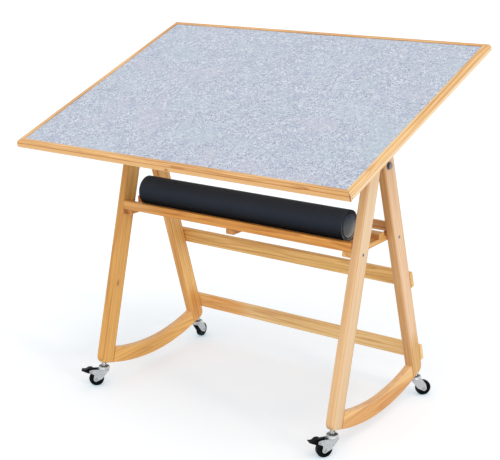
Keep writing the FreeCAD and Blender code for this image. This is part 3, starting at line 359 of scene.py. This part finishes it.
# The mitre between two rails, which gapes near a point of the front right corner
SEAM_COLOUR = (138, 78, 52)
SEAM_SOFTNESS = 1.7
SEAM_WIDTH = (0.4 * MM, 1.9 * MM)
GAPE_REACH = (12 * MM, 3 * MM)
GAPE_DROP = 9 * MM


class Wood:
    """Lacquered pine round a pith line beside the piece, its grain along a direction."""

    def __init__(self, name, along, mean, figure, seed):
        self.name = name
        self.light, self.mean, self.dark = shades(mean)
        self.base = None
        *self.pith, self.ring_width, self.sway, self.strength = figure
        along = along.normalized()
        across = along.cross(UP if along.x else ALONG_X).normalized()
        self.axes = along, across.cross(along).normalized(), across
        low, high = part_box(name)
        self.middle = (Vector(low) + Vector(high)) / 2
        self.tree = t = material_tree(name)
        self.where = t.place()
        self.run, self.side, self.across = (
            t.less(t.dot(self.where, axis), self.middle.dot(axis)) for axis in self.axes)
        self.offset = random.Random(seed).uniform(0, 9)
        self.broad = self.stretched(BROAD_STRETCH)
        self.fine = self.stretched(FIBRE_STRETCH)
        self.cloud = t.noise(self.broad, 12.0)
        self.streak = t.noise(self.fine, 170.0, detail=4.0, rough=0.62)
        self.fibre = t.noise(self.fine, 800.0, rough=0.6)

    def stretched(self, stretch):
        """Places across the piece, with the run of the grain drawn out."""
        t = self.tree
        run = t.maths("MULTIPLY_ADD", self.run, stretch, self.offset)
        return t.combine(self.side, self.across, run)

    def blend(self, share, colour):
        self.base = self.tree.mix(share, self.base, colour)

    def finish(self):
        """The finished material, from its ground colour up."""
        t = self.tree
        knots = [self.knot(*knot) for knot in KNOTS.get(self.name, ())]
        late = self.latewood(knots)
        self.base = t.mix(t.fit(self.cloud, 0.38, 0.62), self.light, self.mean)
        self.figure_line()
        self.patches_and_painted_light()
        self.curved_top_light()
        self.narrow_face_light_and_shade()
        self.grain(late)
        self.frame_rail()
        for away, radius, depth in knots:
            none, full = (share * radius for share in KNOT_FADE)
            self.blend(t.fade(away, none, full, depth), srgb(*KNOT_COLOUR))
        height = t.plus(t.times(self.fibre, 0.5), t.times(late, -0.35))
        return t.surface(
            colour=self.base, rough=t.fit(self.streak, 0.3, 0.7, 0.38, 0.54),
            normal=t.bump(height, 0.22, 0.5), coat=0.06, coat_rough=0.3, specular=0.3)

    def knot(self, place, radius, depth):
        """How far a place is from a knot, with the knot's radius and depth."""
        t = self.tree
        run, side, across = (
            (Vector(place) * MM - self.middle).dot(axis) for axis in self.axes)
        away = t.vector("LENGTH", t.combine(
            t.less(self.side, side), t.less(self.across, across),
            t.times(t.less(self.run, run), 1 / KNOT_LENGTH)))
        return away, radius, depth

    def latewood(self, knots):
        """The lines of the rings round a swaying pith, bent round the knots."""
        t = self.tree
        apart = []
        for level, pith, scale in zip((self.side, self.across), self.pith, SWAY_SCALES):
            sway = t.noise(t.combine(scale, 0.0, t.plus(self.run, self.offset)), scale,
                           detail=2.0)
            sway = t.times(t.less(sway, 0.5), self.sway * 2 * MM)
            apart.append(t.plus(t.less(level, pith * MM), sway))
        wobble = t.times(t.less(t.noise(self.broad, 26.0), 0.5), RING_WOBBLE * MM)
        ring = t.plus(t.vector("LENGTH", t.combine(*apart, 0.0)), wobble)
        for away, radius, _ in knots:
            reach, height = (share * radius * MM for share in KNOT_BEND)
            near = t.maths("DIVIDE", away, reach)
            bend = t.maths("POWER", math.e, t.times(t.times(near, near), -1.0))
            ring = t.maths("MULTIPLY_ADD", bend, height, ring)
        share = t.maths("FRACT", t.maths("DIVIDE", ring, self.ring_width * MM))
        return t.ramp(share, LATEWOOD)

    def figure_line(self):
        if self.name not in FIGURE_LINES:
            return
        t = self.tree
        heights, ragged, fall, colour = FIGURE_LINES[self.name]
        over = t.dot(self.where, (0.0, fall, 1.0))
        over = t.maths("MULTIPLY_ADD", self.cloud, ragged * MM, over)
        self.blend(t.fade(over, *heights, most=0.85), srgb(*colour))

    def patches_and_painted_light(self):
        t = self.tree
        # patches of other tone, and painted light on the upper front legs
        for place, reach, colour in PATCHES_AND_PAINTED_LIGHT.get(self.name, ()):
            away = t.vector("DISTANCE", self.where, tuple(level * MM for level in place))
            away = t.maths("MULTIPLY_ADD", self.cloud, PATCH_RAGGED * reach * MM, away)
            none, full = (share * reach for share in PATCH_FADE)
            self.blend(t.fade(away, none, full), srgb(*colour))

    def curved_top_light(self):
        """A curved rail's top, which faces up, is paler than its sides with painted light.
        """
        if not self.name.startswith("curved_rail"):
            return
        t = self.tree
        facing_up = t.dot(t.node("ShaderNodeNewGeometry").outputs["Normal"], UP)
        self.blend(t.fit(facing_up, 0.35, 0.65, 0.0, 0.8), srgb(*CURVED_TOP_LIGHT))

    def narrow_face_light_and_shade(self):
        """The narrow faces of a leg get a tone of painted light and shade, for how light
        falls on that side, past a dark arris.
        """
        if self.name not in NARROW_FACE_LIGHT_AND_SHADE:
            return
        t = self.tree
        reach = t.maths("ABSOLUTE", self.across)
        self.blend(t.fade(reach, *NARROW_FACE_FADE), srgb(*NARROW_FACE_LIGHT_AND_SHADE[self.name]))
        self.blend(t.fade(t.off(reach, ARRIS), *ARRIS_FADE, most=0.4), self.dark)

    def grain(self, late):
        """The dark ring lines, dark and light streaks, and fine pale fibres."""
        t = self.tree
        depth = t.fit(t.noise(self.broad, 34.0, detail=2.0), 0.32, 0.68, 0.3, 1.0)
        self.blend(t.times(late, t.times(depth, self.strength)), self.dark)
        self.blend(t.fit(self.streak, 0.47, 0.66, 0.0, 0.62 * self.strength), self.dark)
        self.blend(t.fit(self.streak, 0.46, 0.34, 0.0, 0.8 * self.strength), self.light)
        self.blend(t.fit(self.fibre, 0.35, 0.75, 0.0, 0.2), self.light)

    def frame_rail(self):
        """A frame rail's low face, paler with painted light, and its dark lines of painted
        shade, by their place on the board.
        """
        if self.name not in STEP_SHADOW_LINES:
            return
        t = self.tree
        out = t.maths("ABSOLUTE", t.dot(self.where, ALONG_X))
        slope = t.off(t.dot(self.where, BOARD_Y), APEX.dot(BOARD_Y) + BOARD_OFFSET)
        lift = t.less(t.dot(self.where, BOARD_N), APEX.dot(BOARD_N))
        inset = t.maths("MINIMUM", t.less(BOARD_LENGTH / 2, out),
                        t.less(BOARD_DEPTH / 2, slope))
        if self.name in LIT_LOW_FACES:
            self.lit_low_face(lift, inset)
        self.rail_shade_lines(lift, inset)
        self.seam(out, slope)

    def lit_low_face(self, lift, inset):
        t = self.tree
        # painted light: the low outer face is paler where it faces the light
        face = t.times(t.fade(lift, *LOW_FACE_LIFT), t.fade(inset, *LOW_FACE_INSET))
        pale = t.mix(t.fit(self.streak, 0.45, 0.6), srgb(*LIT_LOW_FACES[self.name]), self.light)
        self.blend(t.times(face, 0.8), pale)

    def rail_shade_lines(self, lift, inset):
        """Painted shade in the vee and painted shadow under the bead, as dark lines."""
        t = self.tree
        # painted shade in the vee, and painted shadow under the bead
        vee = t.times(t.fade(t.off(inset, VEE_INSET), *VEE_FADE), t.fade(lift, *VEE_LIFT))
        step_lift, reach, depth = STEP_SHADOW_LINES[self.name]
        step = t.fade(t.off(lift, step_lift * MM), reach, STEP_SHADOW_CORE, depth)
        self.blend(t.maths("MAXIMUM", t.times(vee, 0.5), step), self.dark)

    def seam(self, out, slope):
        """The dark mitre between two rails."""
        t = self.tree
        skew = t.off(t.less(out, slope), (BOARD_LENGTH - BOARD_DEPTH) / 2)
        corner = board_point(BOARD_LENGTH / 2, -BOARD_DEPTH / 2, BOARD_TOP - GAPE_DROP)
        away = t.vector("DISTANCE", self.where, tuple(corner))
        width = t.fit(away, *GAPE_REACH, *SEAM_WIDTH)
        seam = t.fit(skew, t.times(width, SEAM_SOFTNESS), width, 0.0, 0.7)
        self.blend(seam, srgb(*SEAM_COLOUR))


def paint(obj, finish):
    """One finish for a whole object."""
    if not obj.data.materials:
        obj.data.materials.append(finish)
    for slot in obj.material_slots:
        slot.link = "OBJECT"
        slot.material = finish


for seed, (node, (along, mean, figure)) in enumerate(WOOD.items(), FIRST_SEED):
    paint(NODES[node], Wood(node, along, mean, figure, seed).finish())


# Metal, plastic and fibreboard
ZINC_CLOUDS = 260.0
# Painted shade in the groove round a caster's collar: its outer and its inner edge in mm
GROOVE_OUTER = (12.4, 10.8)
GROOVE_INNER = (6.2, 7.0)
GROOVE_SHADE_COLOUR = (84, 86, 90)


def fibreboard():
    t = material_tree("fibre_panel")
    chips = t.noise(t.place(), 420.0, detail=4.0, rough=0.7)
    base = t.mix(t.fit(chips, 0.3, 0.7), srgb(176, 138, 96), srgb(206, 172, 128))
    return t.surface(colour=base, rough=0.62, normal=t.bump(chips, 0.1, 0.4))


def zinc(name="zinc", tone=(176, 180, 181), rough=0.26):
    """Clouded, slightly grainy metal."""
    t = material_tree(name)
    where = t.place()
    cloud = t.noise(where, ZINC_CLOUDS, rough=0.6)
    grain = t.noise(where, 2600.0, detail=2.0)
    bright = [level + 22 for level in tone]
    base = t.mix(t.fit(cloud, 0.35, 0.65), srgb(*tone), srgb(*bright))
    return t.surface(colour=base, metal=1.0,
                     rough=t.fit(cloud, 0.3, 0.7, rough - 0.06, rough + 0.1),
                     normal=t.bump(grain, 0.05, 0.25))


def stem_zinc():
    """Smooth zinc with painted shade in the groove round each caster's collar."""
    t = material_tree("zinc_stem")
    where = t.place()
    cloud = t.noise(where, ZINC_CLOUDS, rough=0.6)
    x = t.less(t.maths("ABSOLUTE", t.dot(where, ALONG_X)), STEM_X)
    y = t.less(t.off(t.dot(where, ALONG_Y), APEX.y), STEM_Y)
    away = t.vector("LENGTH", t.combine(x, y, 0.0))
    # painted shade in the groove
    groove = t.times(t.fade(away, *GROOVE_OUTER), t.fade(away, *GROOVE_INNER))
    base = t.mix(t.fit(cloud, 0.35, 0.65), srgb(186, 190, 193), srgb(214, 217, 219))
    base = t.mix(t.times(groove, 0.8), base, srgb(*GROOVE_SHADE_COLOUR))
    return t.surface(colour=base, metal=1.0, rough=t.fit(cloud, 0.3, 0.7, 0.16, 0.3))


def black_plastic(name, rough, level, specular=0.5):
    """Finely pebbled plastic or paint of a dark screen level."""
    t = material_tree(name)
    pebble = t.noise(t.place(), 1500.0)
    base = t.mix(t.fit(pebble, 0.3, 0.7), srgb(level, level + 1, level + 2),
                 srgb(level + 12, level + 13, level + 14))
    return t.surface(colour=base, rough=t.fit(pebble, 0.3, 0.7, rough - 0.05, rough + 0.07),
                     normal=t.bump(pebble, 0.06, 0.3), specular=specular)


ZINC = zinc()
RIVET = zinc("rivet", (150, 153, 156), 0.34)
DULL = zinc("dull_steel", (118, 119, 120), 0.34)
BLACK = black_plastic("black_plastic", 0.34, 2, specular=0.05)
# The finishes of the other pieces, by the start of a name; what isn't named here is zinc
FINISHES = {
    "board_panel": fibreboard(),
    "caster_wheel": black_plastic("tyre", 0.26, 2, specular=0.1),
    "brake_pedal": BLACK, "tilt_knob": BLACK,
    "tilt_quadrant": black_plastic("black_coat", 0.4, 24),
    "caster_axle": RIVET, "brake_pin": RIVET, "shelf_bolts": RIVET,
    "caster_stem": stem_zinc(), "clamp_bolts": DULL, "pivot_": DULL,
    "corner_pins": zinc("brad", (96, 78, 62), 0.5),
}
CLOTHS = ("felt_sheet", "rolled_mat")
for name, obj in NODES.items():
    if name not in WOOD and name not in CLOTHS:
        chosen = [finish for start, finish in FINISHES.items() if name.startswith(start)]
        paint(obj, chosen[0] if chosen else ZINC)


def mesh_object(name, points, faces, body):
    """A smooth mesh that rides on a body."""
    mesh = bpy.data.meshes.new(name)
    mesh.from_pydata(points, [], faces)
    mesh.update()
    mesh.polygons.foreach_set("use_smooth", [True] * len(mesh.polygons))
    obj = bpy.data.objects.new(name, mesh)
    bpy.context.scene.collection.objects.link(obj)
    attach(obj, body)
    return obj


# Felt: a thin sheet with a soft rolled edge, inside the moulded rails
FELT_PLAY = 0.5 * MM
FELT_LIFT = 0.3 * MM
FELT_CELLS = (80, 56)
FELT_SEED = 5
# How far its top dips, as a share of its height
FELT_RIPPLE = 0.04
# The rolled edge, from below: steps in from the side, and shares of the felt's height
FELT_RIM = ((0.0, 0.0), (0.0, 0.55), (0.35 * MM, 0.85), (0.9 * MM, 1.0))


def felt_material():
    t = material_tree("heathered_felt")
    where = t.place()
    cloud = t.noise(where, 34.0, detail=4.0, rough=0.72)
    hue = t.noise(t.vector("ADD", where, (3.0, 1.0, 2.0)), 9.0, detail=2.0, rough=0.5)
    tuft = t.noise(where, 120.0, detail=5.0, rough=0.78)
    curl = t.noise(where, 400.0, rough=0.7, distortion=0.4)
    speck = t.noise(t.vector("ADD", where, (1.0, 5.0, 2.0)), 330.0, rough=0.65)
    hair = t.noise(where, 900.0, rough=0.7, distortion=1.2)
    base = t.mix(t.fit(tuft, 0.38, 0.62), srgb(156, 168, 193), srgb(228, 235, 246))
    # light curls, dark specks, pale hairs, broad clouds, and bluish and pinkish areas
    for share, tone in (
            (t.fit(curl, 0.52, 0.64, 0.0, 0.7), (246, 249, 252)),
            (t.fit(speck, 0.55, 0.62, 0.0, 0.95), (86, 96, 122)),
            (t.fit(hair, 0.4, 0.7, 0.0, 0.25), (230, 233, 240)),
            (t.fit(cloud, 0.46, 0.6, 0.0, 0.42), (172, 182, 205)),
            (t.fit(hue, 0.52, 0.68, 0.0, 0.5), (196, 210, 220)),
            (t.fit(hue, 0.44, 0.3, 0.0, 0.4), (206, 204, 218))):
        base = t.mix(share, base, srgb(*tone))
    height = t.plus(tuft, t.times(hair, 0.6))
    return t.surface(colour=base, rough=0.95, normal=t.bump(height, 0.6, 0.5),
                     sheen=0.2, sheen_rough=0.5, specular=0.15)


def build_felt():
    half_x = BOARD_LENGTH / 2 - RAIL_FACE - FELT_PLAY
    half_y = BOARD_DEPTH / 2 - RAIL_FACE - FELT_PLAY
    low = PANEL_TOP + FELT_LIFT
    across, deep = FELT_CELLS
    columns = [-1 + 2 * i / across for i in range(across + 1)]
    rows = [-1 + 2 * j / deep for j in range(deep + 1)]
    chance = random.Random(FELT_SEED)
    points = []
    index = {}

    def add(column, row, step_in, height):
        points.append(board_point(column * (half_x - step_in), row * (half_y - step_in),
                                  low + (FELT_TOP - low) * height))
        return len(points) - 1

    top_step = FELT_RIM[-1][0]
    for i, column in enumerate(columns):
        for j, row in enumerate(rows):
            edge = i in (0, across) or j in (0, deep)
            height = 1.0 if edge else 1.0 - chance.uniform(0, FELT_RIPPLE)
            index[i, j] = add(column, row, top_step, height)
    faces = [(index[i, j], index[i + 1, j], index[i + 1, j + 1], index[i, j + 1])
             for i in range(across) for j in range(deep)]
    ring = [(i, 0) for i in range(across)] + [(across, j) for j in range(deep)]
    ring += [(i, deep) for i in range(across, 0, -1)]
    ring += [(0, j) for j in range(deep, 0, -1)]
    last = [index[key] for key in ring]
    for step_in, height in reversed(FELT_RIM[:-1]):
        loop = [add(columns[i], rows[j], step_in, height) for i, j in ring]
        for k in range(len(ring)):
            after = (k + 1) % len(ring)
            faces.append((loop[k], loop[after], last[after], last[k]))
        last = loop
    faces.append(tuple(reversed(last)))
    felt = mesh_object("felt_cloth", points, faces, "board")
    paint(felt, felt_material())
    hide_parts("felt_sheet")


# Rolled mat: one sheet wound in half turns, black outside and light grey inside
MAT_BORE = 26.5 * MM
MAT_THICK = 1.9 * MM
MAT_PITCH = 2.4 * MM
MAT_HALF_TURNS = 8
MAT_LENGTH = 590 * MM
MAT_SHIFT = 14.8 * MM
MAT_TURN = math.radians(12)
MAT_GAP = 0.3 * MM
MAT_OUTER = MAT_BORE + MAT_PITCH / 2 * (MAT_HALF_TURNS - 1) + MAT_THICK
# The bore's middle line: the last half turn rests on the rounded edges of two rails
MAT_MIDDLE = APEX.y - SHELF_REACH + SHELF_RAIL_THICK + CRADLE_HALF_GAP
MAT_HEIGHT = SHELF_TOP - SHELF_ROUND + math.sqrt(
    (MAT_OUTER + SHELF_ROUND + MAT_GAP) ** 2 - (CRADLE_HALF_GAP + SHELF_ROUND) ** 2)
# The sheet's two faces, from the inner side of its turn, and how far its ends stop short
MAT_FACES = (0.06 * MM, 1.84 * MM)
MAT_TRIM = 1.6 * MM
# Steps in each half turn, and cells along the roll
MAT_STEPS = 22
MAT_CELLS = 60
# The last steps, where the sheet is pressed a little thinner, and by what share
PRESSED_STEPS = 4
PRESSED_SHARE = 0.9
# Each turn ends at a slightly different place: sizes in mm, paces and phases of its waves,
# and how sharply they fall off from the ends
RAGGED_WAVES = ((0.9, 0.37, 0.6), (0.5, 0.91, 0.0))
RAGGED_POWER = 6
# Small waves of the whole sheet: how many, between what their paces, phases and sizes are
# drawn, their height, and how fast they run along the roll and round it
MAT_SEED = 3
MAT_WAVES = 5
WAVE_SPANS = ((0.5, 3.0), (0, 6.28), (0.1, 0.3))
WAVE_HEIGHT = 0.12 * MM
WAVE_ALONG = 3
WAVE_ROUND = 0.3
# The sheet's outside, its inside and its cut edges: the heights in mm over the bore's middle
# at which three tones change, the tones from below, and the specular level. The tones paint
# light and shade: the outside fades to black below a painted highlight band, and the grey
# inside and the cut edges carry a painted pool of light low in the bore over their own
# colour.
MAT_SHADED_TONES = {
    "mat_black": ((-6, 24, 26, 38), ((3, 3, 4), (50, 57, 69), (57, 65, 78)), 0.06),
    "mat_grey": ((-24, 2, 2, 20), ((232, 248, 255), (136, 156, 186), (66, 74, 90)), 0.2),
    "mat_cut": ((-24, 2, 10, 30), ((126, 130, 136), (84, 88, 96), (58, 62, 70)), 0.1),
}
# The slant of those heights along Y, and how uneven they are
TONE_SLANT = 0.35
TONE_RAGGED = 6 * MM


def cloth(name, levels, tones, specular):
    """A coated cloth with three tones of painted light and shade that follow its height in
    the roll.
    """
    t = material_tree(name)
    where = t.place()
    weave = t.noise(where, 1400.0, rough=0.6)
    cloud = t.noise(where, 14.0, rough=0.6)
    height = t.dot(where, (0.0, -TONE_SLANT, 1.0))
    height = t.maths("MULTIPLY_ADD", cloud, TONE_RAGGED, height)
    height = t.less(height, MAT_HEIGHT - TONE_SLANT * MAT_MIDDLE + TONE_RAGGED / 2)
    under, side, over = (srgb(*tone) for tone in tones)
    # painted shade below and painted light above, by height in the roll
    base = t.mix(t.fade(height, *levels[:2]), under, side)
    base = t.mix(t.fade(height, *levels[2:]), base, over)
    base = t.mix(t.fit(weave, 0.4, 0.8, 0.0, 0.2), base, side)
    relief = t.plus(weave, t.times(cloud, 6.0))
    return t.surface(colour=base, rough=0.6, normal=t.bump(relief, 0.12, 0.5),
                     specular=specular)


def spiral(angle, lift):
    """A place on the wound sheet, lift out from the inner side of its turn."""
    half = min(int(angle / math.pi), MAT_HALF_TURNS - 1)
    centre = MAT_PITCH / 2 * (half % 2)
    radius = MAT_BORE + MAT_PITCH / 2 * half + lift
    return centre + radius * math.cos(angle), radius * math.sin(angle)


def mat_points(total):
    """The two faces of the wound sheet, one after the other, step by step."""
    turn = Matrix.Rotation(MAT_TURN, 3, "X")
    shift = turn @ Vector((0, -MAT_PITCH / 2, 0))
    centre = Vector((MAT_SHIFT, MAT_MIDDLE, MAT_HEIGHT)) + shift
    chance = random.Random(MAT_SEED)
    waves = [[chance.uniform(*span) for span in WAVE_SPANS] for _ in range(MAT_WAVES)]
    points = []
    for lift in MAT_FACES:
        for k in range(total + 1):
            angle = math.pi * k / MAT_STEPS
            pressed = PRESSED_SHARE if k > total - PRESSED_STEPS else 1.0
            y, z = spiral(angle, lift * pressed)
            ragged = MM * sum(size * math.sin(angle * pace + phase)
                              for size, pace, phase in RAGGED_WAVES)
            for i in range(MAT_CELLS + 1):
                share = 2 * i / MAT_CELLS - 1
                x = share * (MAT_LENGTH / 2 - MAT_TRIM) + ragged * abs(share) ** RAGGED_POWER
                swell = WAVE_HEIGHT * sum(
                    size * math.sin(pace * share * WAVE_ALONG + phase + angle * WAVE_ROUND)
                    for pace, phase, size in waves)
                scale = 1 + swell / math.hypot(y, z)
                points.append(centre + turn @ Vector((x, y * scale, z * scale)))
    return points


def mat_faces(total):
    """The sheet's sides, an inner and an outer face in turn, and its cut edges."""
    width = MAT_CELLS + 1
    skin = width * (total + 1)
    sides = []
    for k in range(total):
        for a in range(k * width, k * width + MAT_CELLS):
            b = a + skin
            sides.append((a, a + width, a + width + 1, a + 1))
            sides.append((b, b + 1, b + width + 1, b + width))
    cuts = []
    for k in range(total):
        a = k * width
        cuts.append((a, a + skin, a + skin + width, a + width))
        a += MAT_CELLS
        cuts.append((a, a + width, a + skin + width, a + skin))
    for i in range(MAT_CELLS):
        cuts.append((i, i + 1, i + skin + 1, i + skin))
        a = total * width + i
        cuts.append((a, a + skin, a + skin + 1, a + 1))
    return sides, cuts


def build_mat():
    total = MAT_HALF_TURNS * MAT_STEPS
    sides, cuts = mat_faces(total)
    mat = mesh_object("mat_roll", mat_points(total), sides + cuts, "rolled_mat")
    for name, settings in MAT_SHADED_TONES.items():
        mat.data.materials.append(cloth(name, *settings))
    order = list(MAT_SHADED_TONES)
    for polygon in mat.data.polygons:
        if polygon.index >= len(sides):
            polygon.material_index = order.index("mat_cut")
        elif polygon.index % 2 == 0:
            polygon.material_index = order.index("mat_grey")
    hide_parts("rolled_mat")


build_felt()
build_mat()


# Floor, light and camera
WHITE = (1, 1, 1, 1)
FLOOR_REACH = 30.0
# The floor as it lights the table, and as it is seen: its own shade, and a glow that lifts
# it to white where no shadow falls
FLOOR_LIT = (0.88, 0.87, 0.86, 1)
FLOOR_SEEN = (0.93, 0.8, 0.72, 1)
FLOOR_GLOW = (0.197, 0.35, 0.447, 1)
# The strength of the light from all round, and of the white that is seen
WORLD_LIGHT = 0.72
WORLD_SEEN = 1.0
# Wide, even suns: where each comes from, its strength, and its spread in degrees
SUNS = {
    "key": ((0.35, -0.2, 0.9), 0.41, 34.0),
    "side": ((1.0, -0.2, 0.28), 0.55, 9.0),
    "fill": ((0.1, -1.0, 0.35), 0.46, 50.0),
}
# The camera as fitted to the photograph: its yaw, pitch and roll in degrees, its place in
# mm with Y from the legs' apex, and its focal length and picture width in pixels
CAMERA_TURN = (-36.43, -16.79, -1.14)
CAMERA_PLACE = (1626.2, -2221.6, 1251.7)
FOCAL_PIXELS = 1186.4
PICTURE_WIDTH = 500
SENSOR_WIDTH = 36.0
CAMERA_RANGE = 100.0


def build_stage():
    t = material_tree("floor")
    pale = t.node("ShaderNodeAddShader")
    t.put(pale.inputs[0], t.shader("ShaderNodeEmission", Color=FLOOR_GLOW))
    t.put(pale.inputs[1], t.shader("ShaderNodeBsdfDiffuse", Color=FLOOR_SEEN))
    t.seen_as(t.shader("ShaderNodeBsdfDiffuse", Color=FLOOR_LIT), pale.outputs[0])
    corners = [(x * FLOOR_REACH, y * FLOOR_REACH, 0)
               for x, y in ((-1, -1), (1, -1), (1, 1), (-1, 1))]
    mesh = bpy.data.meshes.new("floor")
    mesh.from_pydata(corners, [], [(0, 1, 2, 3)])
    floor = bpy.data.objects.new("floor", mesh)
    bpy.context.scene.collection.objects.link(floor)
    floor.data.materials.append(t.owner)


def build_world():
    world = bpy.data.worlds.new("studio")
    bpy.context.scene.world = world
    t = Tree(world, "ShaderNodeOutputWorld")
    t.seen_as(t.shader("ShaderNodeBackground", Color=WHITE, Strength=WORLD_LIGHT),
              t.shader("ShaderNodeBackground", Color=WHITE, Strength=WORLD_SEEN))


def build_suns():
    for name, (towards, strength, spread) in SUNS.items():
        light = bpy.data.lights.new(name, "SUN")
        light.energy = strength
        light.angle = math.radians(spread)
        obj = bpy.data.objects.new(name, light)
        obj.rotation_euler = (-Vector(towards)).to_track_quat("-Z", "Y").to_euler()
        bpy.context.scene.collection.objects.link(obj)


def build_camera():
    yaw, pitch, roll = (math.radians(angle) for angle in CAMERA_TURN)
    forward = Vector((math.sin(yaw) * math.cos(pitch), math.cos(yaw) * math.cos(pitch),
                      math.sin(pitch)))
    right = Vector((math.cos(yaw), -math.sin(yaw), 0))
    up = right.cross(forward)
    across = math.cos(roll) * right + math.sin(roll) * up
    above = -math.sin(roll) * right + math.cos(roll) * up
    camera = bpy.data.cameras.new("camera")
    camera.sensor_fit = "HORIZONTAL"
    camera.sensor_width = SENSOR_WIDTH
    camera.lens = FOCAL_PIXELS / PICTURE_WIDTH * SENSOR_WIDTH
    camera.clip_end = CAMERA_RANGE
    obj = bpy.data.objects.new("camera", camera)
    turn = Matrix((across, above, -forward)).transposed()
    x, y, z = CAMERA_PLACE
    place = Vector((x * MM, y * MM + APEX.y, z * MM))
    obj.matrix_world = Matrix.Translation(place) @ turn.to_4x4()
    bpy.context.scene.collection.objects.link(obj)
    bpy.context.scene.camera = obj


build_stage()
build_world()
build_suns()
build_camera()
bpy.context.scene.view_settings.view_transform = "Standard"
